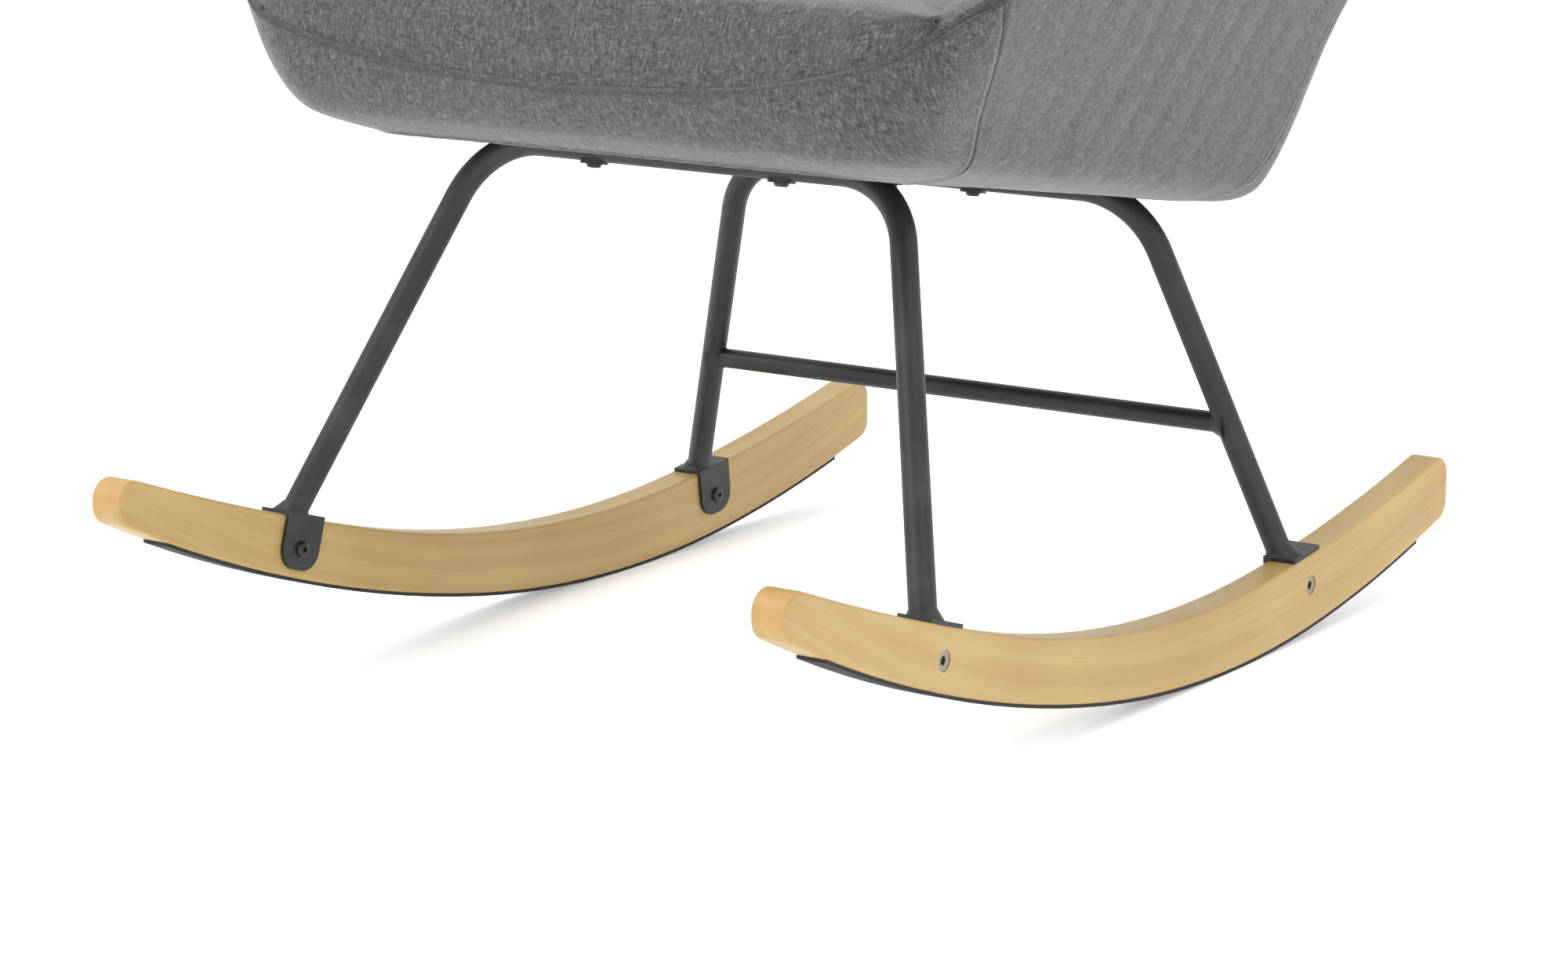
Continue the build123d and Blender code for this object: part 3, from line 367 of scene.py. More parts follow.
def outer_wall() -> Wall:
    """Outside of the shell from the edge of the recess underneath up to the piping."""
    tucked = outline_radius(RECESS_EDGE, ANGLES)
    rings = [outline_radius(level, ANGLES) for level in OUTSIDE]
    radii = np.array([tucked, tucked + 2.5, rings[0] * 0.5 + tucked * 0.5, rings[0] - 2.0, *rings[1:]])
    levels = [RECESS_EDGE.height, 0.2, 0.0, 1.5, *[level.height for level in OUTSIDE[1:]]]
    heights = np.repeat(np.array(levels, float)[:, None], len(ANGLES), 1)
    fine_r, fine_h = trace(radii, heights, 1500)
    across = fine_r * np.sin(ANGLES)
    depth = Centre.depth(fine_h) + fine_r * np.cos(ANGLES)
    over = fine_h - seam_height(across, depth) > 0
    last = np.where(over.any(0), over.argmax(0), len(fine_r) - 1).astype(float)
    share = np.linspace(0, 1, 160)[:, None]
    rows = share * last
    index = np.clip(rows.astype(int), 0, len(fine_r) - 2)
    part = rows - index
    columns = np.broadcast_to(np.arange(len(ANGLES)), index.shape)
    radii = fine_r[index, columns] * (1 - part) + fine_r[index + 1, columns] * part
    heights = fine_h[index, columns] * (1 - part) + fine_h[index + 1, columns] * part
    return Wall(ANGLES, radii, heights)


def inner_wall(outer: Wall) -> Wall:
    """Padded inside of the shell, from the piping over the rolled edge and down to below the seat."""
    edge_r, edge_h = outer.radii[-1], outer.heights[-1]
    levels = np.array([level.height for level in INSIDE], float)
    rings = np.array([outline_radius(level, ANGLES) for level in INSIDE])

    def inside_at(height: Array) -> Array:
        """Radius of the sitting space at one height for each angle."""
        return smooth_table(levels, rings, np.clip(height, levels[0], levels[-1])[None, :])[0]

    floor = np.full_like(edge_h, levels[0])
    roll = np.interp(edge_h, ROLL_EDGES, ROLL_DROPS)
    wall = np.minimum(inside_at(edge_h), edge_r - 1.0)
    thick = edge_r - wall
    crown = np.clip(thick * CROWN_SHARE, 0.3, CROWN_MOST)
    lower = np.minimum(inside_at(edge_h - roll), edge_r - 1.0)
    middle = np.minimum(inside_at(edge_h - 0.42 * roll), edge_r - 1.0)
    deep = np.clip((edge_h - roll) * 0.5 + floor * 0.5, floor, None)
    controls_r = np.array([
        edge_r - 0.4, edge_r - 0.22 * thick, edge_r - 0.5 * thick, edge_r - 0.76 * thick,
        middle + 0.05 * thick, lower,
        np.minimum(inside_at(deep), edge_r - 1.0), np.minimum(inside_at(floor), edge_r - 1.0),
    ])
    controls_h = np.array([
        edge_h - 1.0, edge_h + 0.8 * crown, edge_h + crown, edge_h + 0.3 * crown - 0.08 * roll,
        edge_h - 0.42 * roll, edge_h - roll, deep, floor,
    ])
    radii, heights = trace(controls_r, controls_h, 140)
    return Wall(ANGLES, radii, heights)


# ----------------------------------------------------------------------------------------------
# Mesh building
# ----------------------------------------------------------------------------------------------
@dataclass
class Patch:
    """Grid of cloth in the row frame, with its flat coordinates and how near each point is to a seam, which
    sets the painted seam shade (with some dust).
    """

    name: str
    points: Array
    flat: Array
    seam_shade_and_dust: Array

    def normals(self) -> Array:
        """Unit normals of the grid, pointing to the side from which the rows run anticlockwise."""
        across = np.gradient(self.points, axis=1)
        along = np.gradient(self.points, axis=0)
        normal = np.cross(across, along)
        return normal / np.maximum(np.linalg.norm(normal, axis=-1, keepdims=True), 1e-9)


def flat_coordinates(points: Array) -> Array:
    """Coordinates on the unrolled cloth, in metres, measured along the grid's rows and columns."""
    across = np.linalg.norm(np.diff(points, axis=1), axis=-1)
    along = np.linalg.norm(np.diff(points, axis=0), axis=-1)
    zero_u = np.zeros((points.shape[0], 1))
    zero_v = np.zeros((1, points.shape[1]))
    u = np.concatenate([zero_u, np.cumsum(across, 1)], 1)
    v = np.concatenate([zero_v, np.cumsum(along, 0)], 0)
    u -= u[:, points.shape[1] // 2][:, None]
    return np.stack([u, v], -1)


def shell_object(patch: Patch, thickness: float) -> bpy.types.Object:
    """Closed skin of cloth made from one patch and its inner side.

    Args:
        patch: Outer side of the cloth.
        thickness: Cloth with its backing, in metres.

    Returns:
        The new mesh object, at the origin.
    """
    rows, columns = patch.points.shape[:2]
    count = rows * columns
    inner = patch.points - patch.normals() * thickness
    index = np.arange(count).reshape(rows, columns)
    corners = [index[:-1, :-1], index[:-1, 1:], index[1:, 1:], index[1:, :-1]]
    outer_faces = np.stack(corners, -1).reshape(-1, 4)
    inner_faces = outer_faces[:, ::-1] + count
    border = np.concatenate([index[0, :-1], index[:-1, -1], index[-1, :0:-1], index[:0:-1, 0]])
    following = np.roll(border, -1)
    rim = np.stack([border, border + count, following + count, following], -1)
    faces = np.concatenate([outer_faces, inner_faces, rim])
    points = np.concatenate([patch.points.reshape(-1, 3), inner.reshape(-1, 3)])
    mesh = bpy.data.meshes.new(patch.name)
    mesh.from_pydata(points.tolist(), [], faces.tolist())
    layer = mesh.uv_layers.new(name="Cloth")
    loops = np.zeros(len(mesh.loops), np.int32)
    mesh.loops.foreach_get("vertex_index", loops)
    flat = patch.flat.reshape(-1, 2)
    layer.data.foreach_set("uv", flat[loops % count].astype(np.float32).ravel())
    # Mask for the painted seam shade (with some dust), copied to both sides of the skin.
    seam_shade_and_dust = mesh.attributes.new("seam_shade_and_dust", "FLOAT", "POINT")
    seam_shade_and_dust.data.foreach_set("value", np.tile(patch.seam_shade_and_dust.ravel(), 2).astype(np.float32))
    mesh.polygons.foreach_set("use_smooth", np.ones(len(mesh.polygons), bool))
    mesh.validate()
    mesh.update()
    shape = bpy.data.objects.new(patch.name, mesh)
    bpy.context.scene.collection.objects.link(shape)
    return shape


Border = Callable[[Wall, Array], Array]


@dataclass(frozen=True)
class PanelEdge:
    """How one border of a panel is finished."""

    sink: float = 0.0016
    reach: float = 0.0045
    pucker: float = 0.0004


@dataclass(frozen=True)
class PanelPlan:
    """One cut piece of cloth on a wall.

    The weave stands upright at the world Y given by plumb, in metres, or in the middle without it.
    """

    name: str
    start: Border
    end: Border
    columns: int
    rows: int
    t_range: tuple[float, float] = (0.0, 1.0)
    bulge: float = 0.0
    phase: float = 0.0
    plumb: float | None = None
    edges: tuple[PanelEdge, PanelEdge, PanelEdge, PanelEdge] = (
        PanelEdge(0.0009, 0.003), PanelEdge(0.0009, 0.003), PanelEdge(0.0), PanelEdge(0.0008, 0.004),
    )


def panel_patch(wall: Wall, plan: PanelPlan, seat: SeatFrame) -> Patch:
    """Lays one panel on a wall.

    Args:
        wall: The wall to follow.
        plan: The panel's borders and finish.
        seat: The seat's frame.

    Returns:
        The patch, its border pulled in along the seams.
    """
    levels = plan.t_range[0] + (plan.t_range[1] - plan.t_range[0]) * np.linspace(0, 1, plan.rows)
    start, end = plan.start(wall, levels), plan.end(wall, levels)
    share = np.linspace(0, 1, plan.columns)[None, :]
    angle = start[:, None] + (end - start)[:, None] * share
    t = np.repeat(levels[:, None], plan.columns, 1)
    seat_points = wall.point(t, angle)
    points = seat.place(*np.moveaxis(seat_points * MM, -1, 0))
    flat = flat_coordinates(points)
    if plan.plumb is not None:
        for row, run in zip(flat, points[..., 1]):
            order = np.argsort(run)
            row[:, 0] -= np.interp(plan.plumb, run[order], row[order, 0])
    patch = Patch(plan.name, points, flat, np.zeros(points.shape[:2]))
    normal = patch.normals()
    width = flat[:, -1:, 0] - flat[:, :1, 0]
    distances = (
        flat[..., 0] - flat[:, :1, 0], flat[:, -1:, 0] - flat[..., 0],
        flat[..., 1], flat[-1:, :, 1] - flat[..., 1],
    )
    runs = (flat[..., 1], flat[..., 1], flat[..., 0], flat[..., 0])
    height = np.zeros(points.shape[:2])
    seam_shade_and_dust = np.zeros_like(height)
    for number, (edge, distance, run) in enumerate(zip(plan.edges, distances, runs)):
        fade = np.exp(-(distance / edge.reach) ** 2)
        height -= edge.sink * fade
        gather = edge.pucker * ripple(run, 0.021, plan.phase + number)
        height += gather * np.exp(-distance / 0.016) * (1 - fade)
        # Painted shade, with some dust: the mask darkens the cloth where each seam sinks in.
        seam_shade_and_dust = np.maximum(seam_shade_and_dust, fade * min(1.0, edge.sink / 0.0016))
    swell = np.sin(np.pi * np.clip(distances[0] / np.maximum(width, 1e-6), 0, 1)) * np.sin(
        np.pi * np.clip(flat[..., 1] / np.maximum(flat[-1:, :, 1], 1e-6), 0, 1)
    )
    height += plan.bulge * swell
    slack = ripple(flat[..., 0] + 0.4 * flat[..., 1], 0.13, plan.phase)
    height += 0.0006 * slack * ripple(flat[..., 1], 0.17, 1.3)
    patch.points = points + normal * height[..., None]
    patch.seam_shade_and_dust = seam_shade_and_dust
    return patch


def fixed_angle(value: float) -> Border:
    """A border at one angle on every level."""
    return lambda wall, levels: np.full(len(levels), value)


def seam_plane(depth: float, lean: float, side: int, hold_below: float = -1.0) -> Border:
    """A border where a wall meets a plane that runs across the chair.

    Args:
        depth: The plane's depth at height 0, in millimetres.
        lean: Its travel rearwards for each millimetre up.
        side: 1 for the +X side and -1 for the other.
        hold_below: Level under which the border keeps its angle.

    Returns:
        A function that gives the angle on each level.
    """

    def border(wall: Wall, levels: Array) -> Array:
        """Angles on the wanted side."""
        found = wall.angle_where(
            np.maximum(levels, hold_below), lambda p: p[..., 1] - depth - lean * p[..., 2], 0.0, math.pi
        )
        return side * found

    return border


# ----------------------------------------------------------------------------------------------
# Sub-assemblies
# ----------------------------------------------------------------------------------------------
@dataclass
class Upholstery:
    """Padded tub: outer panels, piping, inner panels and seat."""

    seat: SeatFrame
    cloth_thickness: float = 0.0025
    outer_end: float = 0.985
    underside_hold: float = 0.16
    front_seam_foot: float = -228.0
    front_seam_lean: float = -82.0 / 118.0
    back_seam_foot: float = 178.0
    back_seam_lean: float = 0.235
    inner_seam_angle: float = math.radians(51.0)
    piping_radius: float = 0.0047
    piping_drop: float = 0.0032
    piping_out: float = 0.0016

    def build(self) -> dict[str, bpy.types.Object]:
        """Makes every visible cloth piece of the shell.

        Returns:
            The new objects by name.
        """
        outer = outer_wall()
        inner = inner_wall(outer)
        pieces = {}
        for patch in self.outer_panels(outer) + self.inner_panels(inner):
            pieces[patch.name] = shell_object(patch, self.cloth_thickness)
        pieces["seat_pad"] = shell_object(self.seat_pad(outer), self.cloth_thickness)
        pieces["edge_roll"] = self.piping(outer)
        return pieces

    def outer_panels(self, wall: Wall) -> list[Patch]:
        """Front band, two side panels and the outside back."""
        hold, top = self.underside_hold, (0.0, self.outer_end)
        front_right = seam_plane(self.front_seam_foot, self.front_seam_lean, 1, hold)
        front_left = seam_plane(self.front_seam_foot, self.front_seam_lean, -1, hold)
        rear_right = seam_plane(self.back_seam_foot, self.back_seam_lean, 1, hold)
        rear_left = seam_plane(self.back_seam_foot, self.back_seam_lean, -1, hold)

        def past_right(found: Wall, levels: Array) -> Array:
            """The right border again, as an angle past the front."""
            return front_left(found, levels) + 2 * math.pi

        plans = (
            PanelPlan("side_panel_right", rear_right, front_right, 170, 110, top, 0.001, 0.4, -0.10),
            PanelPlan("side_panel_left", front_left, rear_left, 170, 110, top, 0.001, 2.2, -0.10),
            PanelPlan("back_panel", rear_left, rear_right, 170, 120, top, 0.002, 1.7),
        )
        patches = [panel_patch(wall, plan, self.seat) for plan in plans]
        doubled = Wall(
            np.concatenate([wall.angles, wall.angles[1:] + 2 * math.pi]),
            np.concatenate([wall.radii, wall.radii[:, 1:]], 1),
            np.concatenate([wall.heights, wall.heights[:, 1:]], 1),
        )
        band = PanelPlan("front_band", front_right, past_right, 230, 70, top, 0.0015, 3.1)
        patches.append(panel_patch(doubled, band, self.seat))
        return patches

    def inner_panels(self, wall: Wall) -> list[Patch]:
        """Inside back and the two inside arms."""
        right, left = fixed_angle(self.inner_seam_angle), fixed_angle(-self.inner_seam_angle)
        front = math.radians(142.0)
        plans = (
            PanelPlan("inside_back", left, right, 170, 120, (0.0, 1.0), 0.006, 0.9),
            PanelPlan("inside_arm_right", right, fixed_angle(front), 150, 80, (0.0, 1.0), 0.003, 2.9),
            PanelPlan("inside_arm_left", fixed_angle(-front), left, 150, 80, (0.0, 1.0), 0.003, 1.1),
        )
        return [panel_patch(wall, plan, self.seat) for plan in plans]

    def seat_pad(self, outer: Wall) -> Patch:
        """Tight seat from the piping over the nose and back under the inside back."""
        columns, rows = 170, 130
        front_angles = np.radians(np.linspace(180 + 47, 180 - 47, 600))
        folded = (front_angles + math.pi) % (2 * math.pi) - math.pi
        edge = outer.point(np.ones_like(folded), folded)
        order = np.argsort(edge[:, 0])
        line = np.array(SEAT_LINE, float)
        share = np.linspace(-1, 1, columns)
        start_x = share * SEAT_START_HALF
        start_d = np.interp(start_x, edge[order, 0], edge[order, 1])
        start_h = np.interp(start_x, edge[order, 0], edge[order, 2])
        control_d = [start_d + 0.6, start_d - 1.5, start_d + 1.0] + [np.full(columns, d) for d in line[:, 0]]
        control_h = [
            start_h - 2, start_h + (SEAT_NOSE - start_h) * 0.35, start_h + (SEAT_NOSE - start_h) * 0.74,
        ] + [np.full(columns, h) for h in line[:, 1]]
        depth, height = trace(np.array(control_d), np.array(control_h), rows)
        limit = 278.0 - 66.0 * (depth + 520.0) / 645.0 + 24.0 * np.clip((-270.0 - depth) / 60.0, 0, 1)
        x = share[None, :] * np.minimum(limit, SEAT_MOST_HALF)
        side = np.abs(share)[None, :]
        fall_at, fall_by = np.array([-360, -340, -300, -200, 200.0]), np.array([0.0, 3, 12, 15, 15])
        fall = smooth_table(fall_at, fall_by, depth.ravel()).reshape(depth.shape)
        dome = 3.0 * (1 - side ** 2) * np.clip((depth + 340) / 80, 0, 1)
        height = height - fall * side ** 9 + dome
        points = self.seat.place(x * MM, depth * MM, height * MM)
        flat = flat_coordinates(points)
        # Painted shade, with some dust: darker at the seat's sides and along the piping at its front edge.
        seam_shade_and_dust = np.maximum(np.exp(-((1 - side) * 0.25 / 0.006) ** 2) * np.ones_like(depth), 0)
        seam_shade_and_dust = np.maximum(seam_shade_and_dust, np.exp(-(flat[..., 1] / 0.004) ** 2))
        patch = Patch("seat_pad", points, flat, seam_shade_and_dust)
        normal = patch.normals()
        fade = np.exp(-flat[..., 1] / 0.016)
        lift = 0.0005 * ripple(flat[..., 0], 0.023, 0.7) * fade
        slack = ripple(flat[..., 0] + 0.5 * flat[..., 1], 0.16, 0.3)
        lift += 0.0009 * slack * ripple(flat[..., 1], 0.14, 2.0)
        patch.points = points + normal * lift[..., None]
        return patch

    def piping(self, outer: Wall) -> bpy.types.Object:
        """Thick self piping that runs right round the shell's edge."""
        around, ring = 1400, 20
        angle = np.linspace(-math.pi, math.pi, around, endpoint=False)
        edge = outer.point(np.ones_like(angle), angle)
        below = outer.point(np.full_like(angle, 0.96), angle)
        centre = self.seat.place(*np.moveaxis(edge * MM, -1, 0))
        lower = self.seat.place(*np.moveaxis(below * MM, -1, 0))
        kernel = np.hanning(41)
        kernel /= kernel.sum()
        padded = np.concatenate([centre[-40:], centre, centre[:40]])
        smooth = np.stack([np.convolve(padded[:, i], kernel, "same") for i in range(3)], -1)[40:-40]
        tangent = np.roll(smooth, -1, 0) - np.roll(smooth, 1, 0)
        tangent /= np.linalg.norm(tangent, axis=1, keepdims=True)
        down = lower - centre
        down -= tangent * (down * tangent).sum(1, keepdims=True)
        down /= np.maximum(np.linalg.norm(down, axis=1, keepdims=True), 1e-9)
        out = np.cross(down, tangent)
        length = np.concatenate([[0], np.cumsum(np.linalg.norm(np.diff(smooth, axis=0), axis=1))])
        swell = 1 + 0.05 * ripple(length, 0.05, 0.8) + 0.025 * ripple(length, 0.013, 2.0)
        radius = self.piping_radius * swell
        middle = smooth + down * self.piping_drop + out * self.piping_out
        phi = np.linspace(0, 2 * math.pi, ring, endpoint=False)
        points = (
            middle[:, None, :] + out[:, None, :] * (np.cos(phi) * 1.0)[None, :, None] * radius[:, None, None]
            + down[:, None, :] * np.sin(phi)[None, :, None] * radius[:, None, None]
        )
        index = np.arange(around * ring).reshape(around, ring)
        ahead, beside = np.roll(index, -1, 0), np.roll(index, -1, 1)
        faces = np.stack([index, beside, np.roll(ahead, -1, 1), ahead], -1).reshape(-1, 4)
        mesh = bpy.data.meshes.new("edge_roll")
        mesh.from_pydata(points.reshape(-1, 3).tolist(), [], faces.tolist())
        layer = mesh.uv_layers.new(name="Cloth")
        loops = np.zeros(len(mesh.loops), np.int32)
        mesh.loops.foreach_get("vertex_index", loops)
        u = np.repeat(length, ring)
        v = np.tile(phi * self.piping_radius, around)
        layer.data.foreach_set("uv", np.stack([v, u], -1)[loops].astype(np.float32).ravel())
        # Painted shade: the piping's inner side, against the shell, is darkened.
        seam_shade_and_dust = np.tile(np.clip(-np.cos(phi) * 1.2, 0, 1), around)
        mesh.attributes.new("seam_shade_and_dust", "FLOAT", "POINT").data.foreach_set("value", seam_shade_and_dust.astype(np.float32))
        mesh.polygons.foreach_set("use_smooth", np.ones(len(mesh.polygons), bool))
        mesh.update()
        shape = bpy.data.objects.new("edge_roll", mesh)
        bpy.context.scene.collection.objects.link(shape)
        return shape


@dataclass
class Underside:
    """Lining under the seat board and the staples that hold it."""

    seat: SeatFrame
    front_depth: float = -296.0
    rear_depth: float = 180.0
    front_half: float = 206.0
    rear_half: float = 178.0
    level: float = 9.75
    staple_pitch: float = 0.024
    staple_inset: float = 14.0
    staple_width: float = 0.010
    staple_wire: float = 0.0006

    def lining(self) -> bpy.types.Object:
        """The stretched sheet of lining cloth, slightly quilted by its staples."""
        columns, rows = 90, 100
        depth = np.linspace(self.rear_depth, self.front_depth, rows)[:, None]
        part = (depth - self.front_depth) / (self.rear_depth - self.front_depth)
        half = self.front_half + (self.rear_half - self.front_half) * part
        x = np.linspace(-1, 1, columns)[None, :] * half
        depth = np.repeat(depth, columns, 1)
        waves = 0.12 * ripple(x * MM + 0.3 * depth * MM, 0.07, 0.5) * ripple(depth * MM, 0.09, 1.1)
        points = self.seat.place(x * MM, depth * MM, (self.level + waves) * MM)
        index = np.arange(rows * columns).reshape(rows, columns)
        faces = np.stack([index[:-1, :-1], index[1:, :-1], index[1:, 1:], index[:-1, 1:]], -1).reshape(-1, 4)
        mesh = bpy.data.meshes.new("underside_lining")
        mesh.from_pydata(points.reshape(-1, 3).tolist(), [], faces.tolist())
        layer = mesh.uv_layers.new(name="Cloth")
        loops = np.zeros(len(mesh.loops), np.int32)
        mesh.loops.foreach_get("vertex_index", loops)
        flat = np.stack([x * MM, depth * MM], -1).reshape(-1, 2)
        layer.data.foreach_set("uv", flat[loops].astype(np.float32).ravel())
        mesh.polygons.foreach_set("use_smooth", np.ones(len(mesh.polygons), bool))
        shape = bpy.data.objects.new("underside_lining", mesh)
        bpy.context.scene.collection.objects.link(shape)
        return shape

    def staples(self, material: bpy.types.Material) -> bpy.types.Object:
        """Row of staples near the lining's edge, set out by Geometry Nodes."""
        inset = self.staple_inset
        corners = [
            (-self.front_half + inset, self.front_depth + inset),
            (self.front_half - inset, self.front_depth + inset),
            (self.rear_half - inset, self.rear_depth - inset),
            (-self.rear_half + inset, self.rear_depth - inset),
        ]
        x = np.array([c[0] for c in corners]) * MM
        depth = np.array([c[1] for c in corners]) * MM
        points = self.seat.place(x, depth, np.full(4, (self.level - 0.25) * MM))
        mesh = bpy.data.meshes.new("staple_line")
        mesh.from_pydata(points.tolist(), [(0, 1), (1, 2), (2, 3), (3, 0)], [])
        line = bpy.data.objects.new("staple_line", mesh)
        bpy.context.scene.collection.objects.link(line)
        group = staple_row_nodes()
        zero = np.array(0.0)
        values = {
            "Pitch": self.staple_pitch, "Width": self.staple_width, "Wire": self.staple_wire,
            "Up": tuple(self.seat.place(zero, zero, np.array(1.0)) - self.seat.place(zero, zero, zero)),
            "Material": material,
        }
        return applied_nodes(line, group, values, "lining_staples")


# ----------------------------------------------------------------------------------------------
# Geometry Nodes
# ----------------------------------------------------------------------------------------------
def staple_row_nodes() -> bpy.types.NodeTree:
    """Node group that sets flat staples along the edges of a mesh."""
    tree = bpy.data.node_groups.new("StapleRow", "GeometryNodeTree")
    side = tree.interface
    side.new_socket("Geometry", in_out="INPUT", socket_type="NodeSocketGeometry")
    floats = tuple((name, "Float") for name in ("Pitch", "Width", "Wire"))
    for name, kind in (*floats, ("Up", "Vector"), ("Material", "Material")):
        side.new_socket(name, in_out="INPUT", socket_type=f"NodeSocket{kind}")
    side.new_socket("Geometry", in_out="OUTPUT", socket_type="NodeSocketGeometry")
    new, link = tree.nodes.new, tree.links.new
    source, target = new("NodeGroupInput"), new("NodeGroupOutput")
    curve = new("GeometryNodeMeshToCurve")
    even = new("GeometryNodeResampleCurve")
    even.mode = "LENGTH"
    spots = new("GeometryNodeCurveToPoints")
    spots.mode = "EVALUATED"
    link(source.outputs["Geometry"], curve.inputs["Mesh"])
    link(curve.outputs["Curve"], even.inputs["Curve"])
    link(source.outputs["Pitch"], even.inputs["Length"])
    link(even.outputs["Curve"], spots.inputs["Curve"])
    wire = new("GeometryNodeMeshCube")
    size = new("ShaderNodeCombineXYZ")
    link(source.outputs["Width"], size.inputs["X"])
    link(source.outputs["Wire"], size.inputs["Y"])
    link(source.outputs["Wire"], size.inputs["Z"])
    link(size.outputs["Vector"], wire.inputs["Size"])
    turn = new("FunctionNodeAlignEulerToVector")
    turn.axis = "Z"
    link(source.outputs["Up"], turn.inputs["Vector"])
    align = new("FunctionNodeAlignEulerToVector")
    align.axis = "X"
    align.pivot_axis = "Z"
    link(turn.outputs["Rotation"], align.inputs["Rotation"])
    link(spots.outputs["Tangent"], align.inputs["Vector"])
    stray = new("FunctionNodeRandomValue")
    stray.data_type = "FLOAT"
    stray.inputs[2].default_value = -0.18
    stray.inputs[3].default_value = 0.18
    stray.inputs["Seed"].default_value = 11
    twist = new("ShaderNodeCombineXYZ")
    link(stray.outputs[1], twist.inputs["Z"])
    rotate = new("FunctionNodeRotateEuler")
    rotate.space = "LOCAL"
    link(align.outputs["Rotation"], rotate.inputs["Rotation"])
    link(twist.outputs["Vector"], rotate.inputs["Rotate By"])
    place = new("GeometryNodeInstanceOnPoints")
    link(spots.outputs["Points"], place.inputs["Points"])
    link(wire.outputs["Mesh"], place.inputs["Instance"])
    link(rotate.outputs["Rotation"], place.inputs["Rotation"])
    real, paint = new("GeometryNodeRealizeInstances"), new("GeometryNodeSetMaterial")
    link(place.outputs["Instances"], real.inputs["Geometry"])
    link(real.outputs["Geometry"], paint.inputs["Geometry"])
    link(source.outputs["Material"], paint.inputs["Material"])
    link(paint.outputs["Geometry"], target.inputs["Geometry"])
    return tree


def applied_nodes(
    base: bpy.types.Object, group: bpy.types.NodeTree, values: dict[str, Any], name: str
) -> bpy.types.Object:
    """Runs a node group on an object and returns the result as a plain mesh object.

    Args:
        base: Object that carries the input geometry; it is removed.
        group: The node group.
        values: The group's inputs by name.
        name: Name of the new object.

    Returns:
        The finished mesh object.
    """
    modifier = base.modifiers.new("Nodes", "NODES")
    modifier.node_group = group
    for item in group.interface.items_tree:
        if item.item_type == "SOCKET" and item.in_out == "INPUT" and item.name in values:
            modifier[item.identifier] = values[item.name]
    graph = bpy.context.evaluated_depsgraph_get()
    graph.update()
    mesh = bpy.data.meshes.new_from_object(base.evaluated_get(graph), depsgraph=graph)
    mesh.name = name
    result = bpy.data.objects.new(name, mesh)
    bpy.context.scene.collection.objects.link(result)
    bpy.data.objects.remove(base)
    return result


# ----------------------------------------------------------------------------------------------
# Shading
# ----------------------------------------------------------------------------------------------
class Value:
    """A shader socket or number that supports arithmetic."""

    def __init__(self, build: "Shader", socket: Any) -> None:
        self.build = build
        self.socket = socket

    def _do(self, operation: str, *others: Any) -> "Value":
        """One Math node over this value and others."""
        return self.build.math(operation, self, *others)

    def __add__(self, other: Any) -> "Value":
        return self._do("ADD", other)

    def __sub__(self, other: Any) -> "Value":
        return self._do("SUBTRACT", other)

    def __rsub__(self, other: Any) -> "Value":
        return self.build.math("SUBTRACT", other, self)

    def __mul__(self, other: Any) -> "Value":
        return self._do("MULTIPLY", other)

    def __truediv__(self, other: Any) -> "Value":
        return self._do("DIVIDE", other)

    __radd__ = __add__
    __rmul__ = __mul__

    def sin(self) -> "Value":
        """Sine of this value."""
        return self._do("SINE")

    def absolute(self) -> "Value":
        """This value without its sign."""
        return self._do("ABSOLUTE")

    def power(self, exponent: float) -> "Value":
        """This value raised to a power."""
        return self._do("POWER", exponent)

    def ramp(self, low: float, high: float) -> "Value":
        """0 below low, 1 above high and smooth between."""
        sockets = {"Value": self, "From Min": low, "From Max": high}
        node = self.build.node("ShaderNodeMapRange", sockets, interpolation_type="SMOOTHSTEP")
        return Value(self.build, node.outputs["Result"])


